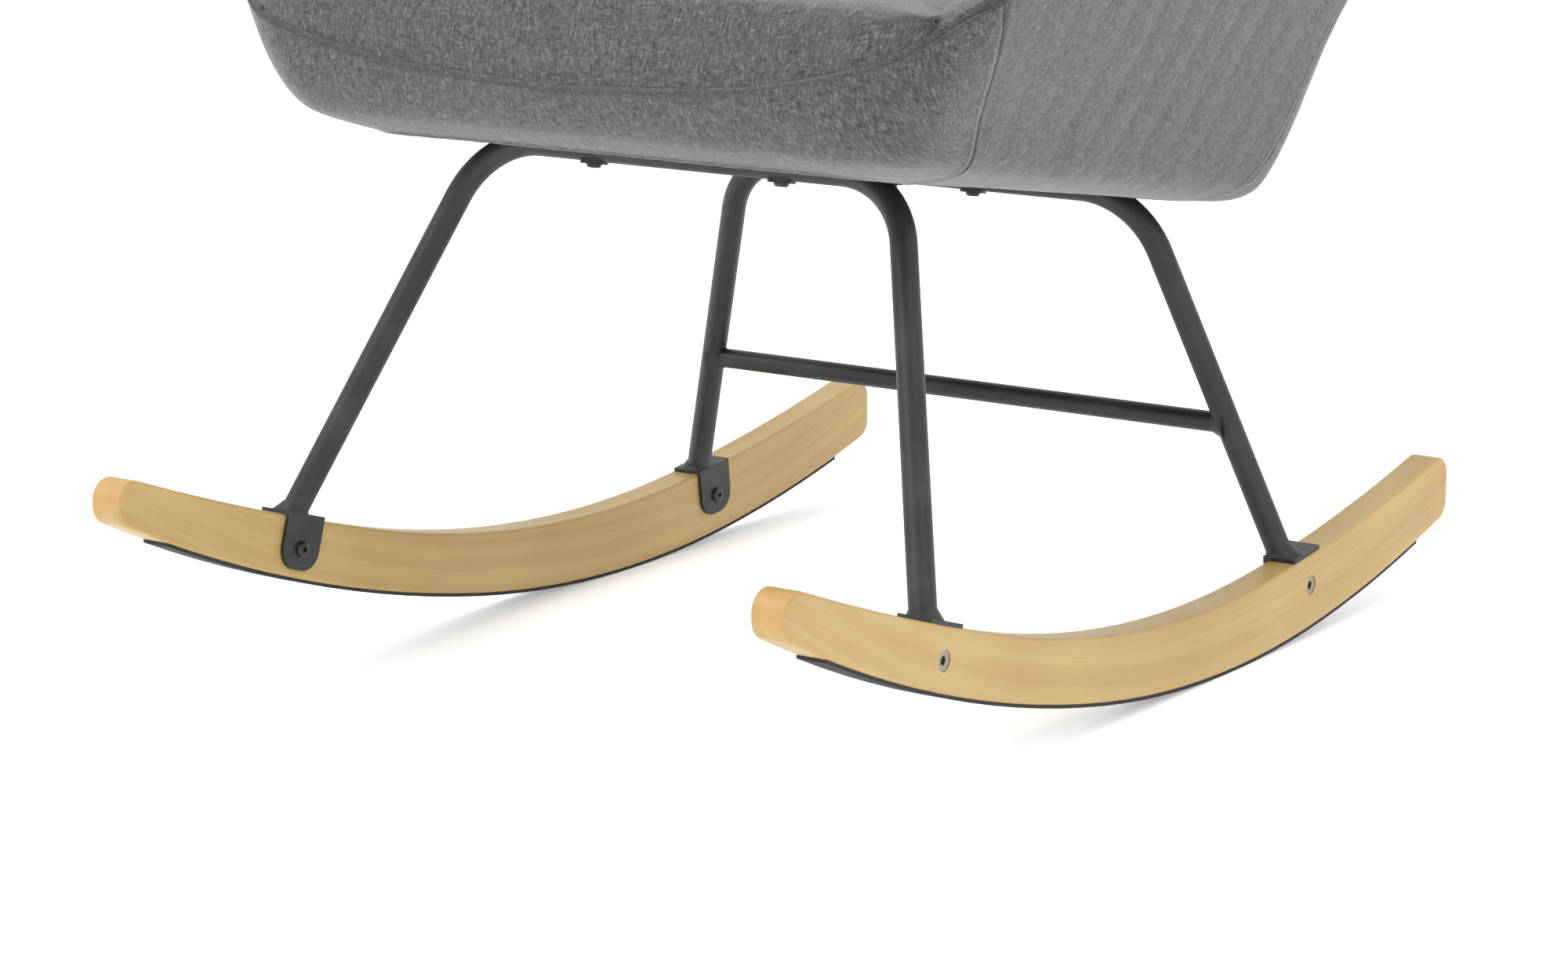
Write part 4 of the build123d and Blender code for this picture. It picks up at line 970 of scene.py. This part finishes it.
class Shader:
    """Builds one Principled material from nodes."""

    def __init__(self, name: str) -> None:
        self.material = bpy.data.materials.new(name)
        self.material.use_nodes = True
        self.tree = self.material.node_tree
        self.surface = self.tree.nodes["Principled BSDF"]

    def node(self, kind: str, inputs: dict[Any, Any] | None = None, **settings: Any) -> Any:
        """Makes one node.

        Args:
            kind: Blender's node type.
            inputs: Values, numbers or colours by socket name or number.
            **settings: Properties of the node.

        Returns:
            The node.
        """
        node = self.tree.nodes.new(kind)
        for key, value in settings.items():
            setattr(node, key, value)
        for key, value in (inputs or {}).items():
            self.feed(node.inputs[key], value)
        return node

    def feed(self, socket: Any, value: Any) -> None:
        """Links a value to a socket, or sets the socket's constant."""
        if isinstance(value, Value):
            self.tree.links.new(value.socket, socket)
        else:
            socket.default_value = value

    def math(self, operation: str, *terms: Any) -> Value:
        """One Math node."""
        node = self.node("ShaderNodeMath", dict(enumerate(terms)), operation=operation)
        return Value(self, node.outputs[0])

    def split(self, vector: Value) -> tuple[Value, Value, Value]:
        """The three parts of a vector."""
        node = self.node("ShaderNodeSeparateXYZ", {"Vector": vector})
        return tuple(Value(self, node.outputs[i]) for i in range(3))

    def join(self, x: Any, y: Any, z: Any) -> Value:
        """A vector from three parts."""
        return Value(self, self.node("ShaderNodeCombineXYZ", {"X": x, "Y": y, "Z": z}).outputs[0])

    def place(self) -> Value:
        """Object coordinates, in metres."""
        return Value(self, self.node("ShaderNodeTexCoord").outputs["Object"])

    def cloth_place(self) -> Value:
        """Coordinates on the flat cloth, in metres."""
        return Value(self, self.node("ShaderNodeUVMap", uv_map="Cloth").outputs["UV"])

    def attribute(self, name: str) -> Value:
        """A number stored on the mesh."""
        return Value(self, self.node("ShaderNodeAttribute", attribute_name=name).outputs["Fac"])

    def noise(self, vector: Value, scale: float, detail: float = 2.0, rough: float = 0.5) -> Value:
        """Noise between 0 and 1."""
        sockets = {"Vector": vector, "Scale": scale, "Detail": detail, "Roughness": rough}
        node = self.node("ShaderNodeTexNoise", sockets)
        return Value(self, node.outputs[0])

    def mix(self, factor: Any, low: Any, high: Any) -> Value:
        """Colour between two colours."""
        node = self.node("ShaderNodeMix", {0: factor}, data_type="RGBA")
        self.feed(node.inputs[6], low)
        self.feed(node.inputs[7], high)
        return Value(self, node.outputs[2])

    def finish(
        self, colour: Value, roughness: Any, height: Value | None, bump: float, depth: float, **constants: Any
    ) -> bpy.types.Material:
        """Wires the surface.

        Args:
            colour: Base colour.
            roughness: Roughness, a number or a value.
            height: Bump height between 0 and 1, or None.
            bump: Strength of the bump.
            depth: Bump distance in metres.
            **constants: Other inputs of the surface, with underscores for spaces.

        Returns:
            The material.
        """
        self.feed(self.surface.inputs["Base Color"], colour)
        self.feed(self.surface.inputs["Roughness"], roughness)
        if height is not None:
            relief = self.node("ShaderNodeBump", {"Height": height, "Strength": bump, "Distance": depth})
            self.feed(self.surface.inputs["Normal"], Value(self, relief.outputs["Normal"]))
        for key, value in constants.items():
            self.feed(self.surface.inputs[key.replace("_", " ")], value)
        return self.material


Colour = tuple[float, float, float, float]


@dataclass(frozen=True)
class FleckedCloth:
    """Grey cloth of slubby two-tone yarn in a plain weave."""

    yarn: float = 0.0011
    dark: Colour = (0.020, 0.021, 0.022, 1)
    middle: Colour = (0.070, 0.070, 0.068, 1)
    light: Colour = (0.172, 0.170, 0.162, 1)
    relief: float = 0.00045

    def material(self) -> bpy.types.Material:
        """Builds the cloth."""
        s = Shader("flecked_cloth")
        u, v, _ = s.split(s.cloth_place())
        drift = s.noise(s.join(u, v, 0.0), 60.0, 2.0)
        u = (u + drift * 0.0011) / self.yarn
        v = (v + drift * 0.0007) / self.yarn
        weave = (u * math.pi).sin() * (v * math.pi).sin()
        upright = s.noise(s.join(u * 0.78, v * 0.19, 1.7), 1.0, 3.0, 0.62)
        level = s.noise(s.join(u * 0.22, v * 0.75, 8.3), 1.0, 3.0, 0.6)
        fuzz = s.noise(s.join(u, v, 4.0), 1.6, 2.0, 0.7)
        patchy = s.noise(s.join(u, v, 2.0), 0.035, 3.0)
        tone = upright * 0.47 + level * 0.33 + fuzz * 0.20
        colour = s.mix(tone.ramp(0.38, 0.51), self.dark, self.middle)
        colour = s.mix(tone.ramp(0.50, 0.64), colour, self.light)
        nep = s.noise(s.join(u * 0.6, v * 0.45, 12.0), 1.0, 1.0)
        colour = s.mix(nep.ramp(0.70, 0.80) * 0.55, colour, (0.27, 0.265, 0.25, 1))
        pit = s.noise(s.join(u * 0.7, v * 0.5, 21.0), 1.0, 1.0)
        colour = s.mix(pit.ramp(0.68, 0.79) * 0.7, colour, (0.030, 0.030, 0.034, 1))
        colour = s.mix(patchy.ramp(0.35, 0.7) * 0.22, colour, (0.105, 0.102, 0.095, 1))
        # Painted shade, with some dust: the cloth is darkened along the seams and on the piping's inner side.
        colour = s.mix(s.attribute("seam_shade_and_dust") * 0.45, colour, (0.045, 0.045, 0.047, 1))
        height = weave * 0.06 + upright * 0.55 + level * 0.45 + fuzz * 0.2
        rough = 0.82 + patchy * 0.16
        return s.finish(
            colour, rough, height, 0.75, self.relief,
            Sheen_Weight=0.35, Sheen_Roughness=0.5, Specular_IOR_Level=0.2,
        )


@dataclass(frozen=True)
class BentBeech:
    """Lacquered beech whose grain follows the rocker's curve."""

    centre_y: float = 0.098
    centre_z: float = 1.10
    pale: Colour = (0.490, 0.346, 0.128, 1)
    warm: Colour = (0.410, 0.258, 0.086, 1)
    ray: Colour = (0.400, 0.225, 0.085, 1)

    def material(self) -> bpy.types.Material:
        """Builds the wood."""
        s = Shader("bent_beech")
        x, y, z = s.split(s.place())
        run, rise = y - self.centre_y, z - self.centre_z
        radius = (run * run + rise * rise).power(0.5)
        along = s.math("ARCTAN2", run, rise * -1.0) * self.centre_z
        wander = s.noise(s.join(along * 3.0, radius * 9.0, x * 9.0), 1.0, 2.0)
        across = radius + wander * 0.006
        bands = s.noise(s.join(along * 1.6, across * 75.0, x * 75.0), 1.0, 4.0, 0.6)
        fine = s.noise(s.join(along * 14.0, across * 900.0, x * 900.0), 1.0, 3.0, 0.6)
        flecks = s.noise(s.join(along * 260.0, across * 1500.0, x * 1500.0), 1.0, 1.0)
        blotch = s.noise(s.join(along * 7.0, across * 14.0, x * 14.0), 1.0, 2.0)
        tone = bands * 0.6 + blotch * 0.4
        colour = s.mix(tone.ramp(0.34, 0.68), self.pale, self.warm)
        colour = s.mix(fine.ramp(0.5, 0.78) * 0.22, colour, self.ray)
        colour = s.mix(flecks.ramp(0.62, 0.74) * 0.42, colour, self.ray)
        normal = s.node("ShaderNodeNewGeometry").outputs["Normal"]
        course = s.join(0.0, rise * -1.0, run)
        tangent = s.node("ShaderNodeVectorMath", {0: course}, operation="NORMALIZE").outputs[0]
        pair = {0: Value(s, normal), 1: Value(s, tangent)}
        facing = s.node("ShaderNodeVectorMath", pair, operation="DOT_PRODUCT")
        end = Value(s, facing.outputs["Value"]).absolute().ramp(0.45, 0.95)
        rings = s.noise(s.join(x * 260.0, across * 700.0, 0.0), 1.0, 3.0)
        colour = s.mix(end * (0.42 + rings * 0.4), colour, (0.470, 0.265, 0.090, 1))
        rough = 0.36 + fine * 0.18
        height = fine * 0.5 + flecks * 0.5
        return s.finish(
            colour, rough, height, 0.18, 0.0002, Coat_Weight=0.12, Coat_Roughness=0.3, Specular_IOR_Level=0.4
        )


@dataclass(frozen=True)
class PowderCoat:
    """Satin black powder coat with fine orange peel."""

    name: str = "powder_coat"
    base: Colour = (0.015, 0.015, 0.016, 1)
    worn: Colour = (0.052, 0.051, 0.050, 1)
    roughness: float = 0.40

    def material(self) -> bpy.types.Material:
        """Builds the paint."""
        s = Shader(self.name)
        place = s.place()
        peel = s.noise(place, 1500.0, 2.0)
        cloud = s.noise(place, 22.0, 4.0, 0.6)
        scuff = s.noise(place, 240.0, 4.0, 0.75)
        colour = s.mix(cloud.ramp(0.4, 0.75) * 0.5 + scuff.ramp(0.66, 0.8) * 0.4, self.base, self.worn)
        rough = self.roughness + cloud * 0.10 + scuff.ramp(0.6, 0.8) * 0.12
        return s.finish(colour, rough, peel, 0.22, 0.00015, Specular_IOR_Level=0.45)


@dataclass(frozen=True)
class Steel:
    """Plated or drawn steel with fine scratches."""

    name: str
    base: Colour
    tarnish: Colour
    roughness: float

    def material(self) -> bpy.types.Material:
        """Builds the metal."""
        s = Shader(self.name)
        x, y, z = s.split(s.place())
        scratch = s.noise(s.join(x * 300.0, y * 2600.0, z * 2600.0), 1.0, 2.0)
        spots = s.noise(s.place(), 420.0, 4.0, 0.7)
        colour = s.mix(spots.ramp(0.5, 0.75) * 0.6, self.base, self.tarnish)
        return s.finish(colour, self.roughness + scratch * 0.2, scratch, 0.2, 0.0001, Metallic=1.0)


@dataclass(frozen=True)
class GripStrip:
    """Thin dark rubber strip with a fine ribbed, dusty face."""

    base: Colour = (0.018, 0.018, 0.018, 1)
    dust: Colour = (0.110, 0.104, 0.096, 1)

    def material(self) -> bpy.types.Material:
        """Builds the strip."""
        s = Shader("grip_strip")
        place = s.place()
        x, _, _ = s.split(place)
        rib = (x * (2 * math.pi / 0.0024)).sin() * 0.5 + 0.5
        dirt = s.noise(place, 70.0, 5.0, 0.7)
        grain = s.noise(place, 1800.0, 2.0)
        colour = s.mix(dirt.ramp(0.52, 0.8) * 0.45, self.base, self.dust)
        return s.finish(colour, 0.72 + dirt * 0.2, rib * 0.6 + grain * 0.4, 0.4, 0.0003)


@dataclass(frozen=True)
class RawTimber:
    """Unfinished timber or plywood inside the shell."""

    name: str
    pale: Colour
    dark: Colour
    ply: float = 0.0

    def material(self) -> bpy.types.Material:
        """Builds the wood, with glue lines where ply is their spacing."""
        s = Shader(self.name)
        x, y, z = s.split(s.place())
        grain = s.noise(s.join(x * 45.0, y * 6.0, z * 60.0), 1.0, 4.0, 0.6)
        pores = s.noise(s.join(x * 900.0, y * 60.0, z * 900.0), 1.0, 2.0)
        colour = s.mix(grain.ramp(0.35, 0.7), self.pale, self.dark)
        if self.ply > 0:
            line = (z * (math.pi / self.ply)).sin().absolute()
            colour = s.mix((1.0 - line.ramp(0.0, 0.25)) * 0.35, colour, self.dark)
        return s.finish(colour, 0.62 + pores * 0.2, pores, 0.25, 0.0003)


@dataclass(frozen=True)
class PlainCloth:
    """Simple woven or felted cloth from object coordinates, for webbing and lining."""

    name: str
    base: Colour
    thread: Colour
    pitch: float

    def material(self) -> bpy.types.Material:
        """Builds the cloth."""
        s = Shader(self.name)
        x, y, z = s.split(s.place())
        weave = (x * (math.pi / self.pitch)).sin() * ((y + z * 0.4) * (math.pi / self.pitch)).sin()
        fibre = s.noise(s.place(), 900.0, 4.0, 0.7)
        colour = s.mix(weave * 0.25 + fibre * 0.6, self.base, self.thread)
        return s.finish(colour, 0.86 + fibre * 0.1, weave * 0.4 + fibre * 0.6, 0.5, 0.0003, Sheen_Weight=0.15)


@dataclass(frozen=True)
class StudioFloor:
    """Plain pale floor with the faintest mottling and a low glow that lightens its shadows."""

    pale: Colour = (0.93, 0.93, 0.925, 1)
    shade: Colour = (0.90, 0.90, 0.895, 1)
    glow: float = 0.3

    def material(self) -> bpy.types.Material:
        """Builds the floor's paint."""
        s = Shader("studio_floor")
        cloud = s.noise(s.place(), 2.0, 3.0)
        colour = s.mix(cloud, self.pale, self.shade)
        return s.finish(
            colour, 0.85, None, 0.0, 0.001,
            Specular_IOR_Level=0.1, Emission_Color=(1.0, 1.0, 1.0, 1.0), Emission_Strength=self.glow,
        )


class Finish(Enum):
    """Every finish on the chair."""

    CLOTH = FleckedCloth()
    BEECH = BentBeech()
    POWDER = PowderCoat()
    BLACK_SCREW = PowderCoat("black_screw", (0.014, 0.014, 0.015, 1), (0.040, 0.040, 0.040, 1), 0.24)
    ZINC = Steel("zinc_plate", (0.34, 0.31, 0.25, 1), (0.16, 0.14, 0.11, 1), 0.38)
    SPRING = Steel("spring_wire", (0.20, 0.20, 0.21, 1), (0.07, 0.065, 0.06, 1), 0.42)
    STRIP = GripStrip()
    SOFTWOOD = RawTimber("raw_softwood", (0.66, 0.47, 0.27, 1), (0.50, 0.31, 0.15, 1))
    PLYWOOD = RawTimber("raw_plywood", (0.62, 0.45, 0.26, 1), (0.36, 0.22, 0.11, 1), 0.0016)
    WEBBING = PlainCloth("webbing", (0.20, 0.15, 0.09, 1), (0.34, 0.27, 0.17, 1), 0.0016)
    LINING = PlainCloth("black_lining", (0.010, 0.010, 0.010, 1), (0.034, 0.034, 0.034, 1), 0.0009)

    def material(self) -> bpy.types.Material:
        """The material of this finish, made once."""
        made = _MADE.get(self.name)
        if made is None:
            made = _MADE[self.name] = self.value.material()
        return made


_MADE: dict[str, bpy.types.Material] = {}

NODE_FINISHES: dict[Finish, Sequence[str]] = {
    Finish.BEECH: ("left_rocker", "right_rocker"),
    Finish.STRIP: ("left_rocker_pad", "right_rocker_pad"),
    Finish.POWDER: (
        "front_leg_frame", "rear_leg_frame", "leg_stretcher", "front_left_bracket", "front_right_bracket",
        "rear_left_bracket", "rear_right_bracket",
    ),
    Finish.BLACK_SCREW: ("bracket_screws", "seat_bolts", "saddle_washers"),
    Finish.ZINC: ("sleeve_nuts", "seat_tee_nuts"),
    Finish.SPRING: ("seat_springs",),
    Finish.PLYWOOD: ("seat_board", "left_arm_panel", "right_arm_panel"),
    Finish.SOFTWOOD: (
        "front_rail", "rear_rail", "left_side_rail", "right_side_rail", "left_back_post", "right_back_post",
        "lumbar_rail", "top_rail", "lower_back_rail",
    ),
    Finish.WEBBING: ("back_webbing",),
}

STANDS_FOR: dict[str, Sequence[str]] = {
    "front_band": ("front_band_cover", "rim_padding"),
    "side_panel_right": ("right_side_cover",),
    "side_panel_left": ("left_side_cover",),
    "back_panel": ("outside_back_cover", "back_wadding"),
    "edge_roll": ("edge_piping",),
    "inside_back": ("inside_back_cover", "back_foam"),
    "inside_arm_right": ("right_inside_arm_cover", "right_arm_foam"),
    "inside_arm_left": ("left_inside_arm_cover", "left_arm_foam"),
    "seat_pad": ("seat_cover", "seat_foam"),
}


# ----------------------------------------------------------------------------------------------
# Scene
# ----------------------------------------------------------------------------------------------
@dataclass(frozen=True)
class Studio:
    """Camera, lights and floor."""

    camera_place: tuple[float, float, float] = (1.66716, -2.51095, 0.78853)
    camera_turn: tuple[float, float, float] = (77.583, -0.119, 34.3766)
    lens: float = 95.2
    shift: tuple[float, float] = (0.0018, 0.0)
    floor_half: float = 30.0
    world_light: float = 1.05

    def build(self) -> None:
        """Sets up the whole studio."""
        scene = bpy.context.scene
        data = bpy.data.cameras.new("view")
        data.lens, data.sensor_width = self.lens, 36.0
        data.shift_x, data.shift_y = self.shift
        data.clip_end = 100.0
        camera = bpy.data.objects.new("view", data)
        camera.location = self.camera_place
        camera.rotation_euler = [math.radians(a) for a in self.camera_turn]
        scene.collection.objects.link(camera)
        scene.camera = camera
        self.floor()
        self.lamp("key", (-1.6, -2.6, 3.0), (0.0, 0.0, 0.4), 2.6, 62.0)
        self.lamp("side", (3.4, -1.2, 2.0), (0.0, 0.0, 0.3), 2.4, 20.0)
        self.lamp("top", (0.0, 0.6, 3.6), (0.0, 0.0, 0.4), 3.0, 42.0)
        world = bpy.data.worlds.new("soft_room")
        world.use_nodes = True
        sky = world.node_tree.nodes["Background"]
        sky.inputs["Color"].default_value = (1.0, 1.0, 1.0, 1.0)
        sky.inputs["Strength"].default_value = self.world_light
        scene.world = world
        scene.view_settings.view_transform = "Standard"
        scene.view_settings.look = "None"

    def floor(self) -> None:
        """Wide plain floor."""
        h = self.floor_half
        mesh = bpy.data.meshes.new("floor")
        mesh.from_pydata([(-h, -h, 0), (h, -h, 0), (h, h, 0), (-h, h, 0)], [], [(0, 1, 2, 3)])
        floor = bpy.data.objects.new("floor", mesh)
        bpy.context.scene.collection.objects.link(floor)
        floor.data.materials.append(StudioFloor().material())

    @staticmethod
    def lamp(name: str, place: Sequence[float], aim: Sequence[float], size: float, power: float) -> None:
        """One soft square lamp turned to a point."""
        data = bpy.data.lights.new(name, "AREA")
        data.size, data.energy = size, power
        lamp = bpy.data.objects.new(name, data)
        lamp.location = place
        lamp.rotation_euler = (Vector(aim) - Vector(place)).to_track_quat("-Z", "Y").to_euler()
        bpy.context.scene.collection.objects.link(lamp)


def paint_nodes(nodes: dict[str, bpy.types.Object]) -> None:
    """Gives every CAD node that stays its finish."""
    for finish, names in NODE_FINISHES.items():
        for name in names:
            mesh = nodes[name].data
            mesh.materials.clear()
            mesh.materials.append(finish.material())


def main() -> None:
    """Builds the whole scene in order."""
    logging.basicConfig(level=logging.INFO, format="%(name)s: %(message)s")
    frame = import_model()
    LOG.info("frame loaded with %d nodes", len(frame["nodes"]))
    Studio().build()
    paint_nodes(frame["nodes"])
    LOG.info("finishes on the CAD nodes done")
    seat = SeatFrame()
    cloth = Finish.CLOTH.material()
    pieces = Upholstery(seat).build()
    for name, piece in pieces.items():
        piece.data.materials.append(cloth)
        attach(piece, "root")
        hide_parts(*STANDS_FOR[name])
        LOG.info("%s: %d faces", name, len(piece.data.polygons))
    underside = Underside(seat)
    lining = underside.lining()
    lining.data.materials.append(Finish.LINING.material())
    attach(lining, "root")
    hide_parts("dust_cover")
    staples = underside.staples(Finish.ZINC.material())
    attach(staples, "root")
    LOG.info("underside done")


if __name__ == "__main__":
    main()
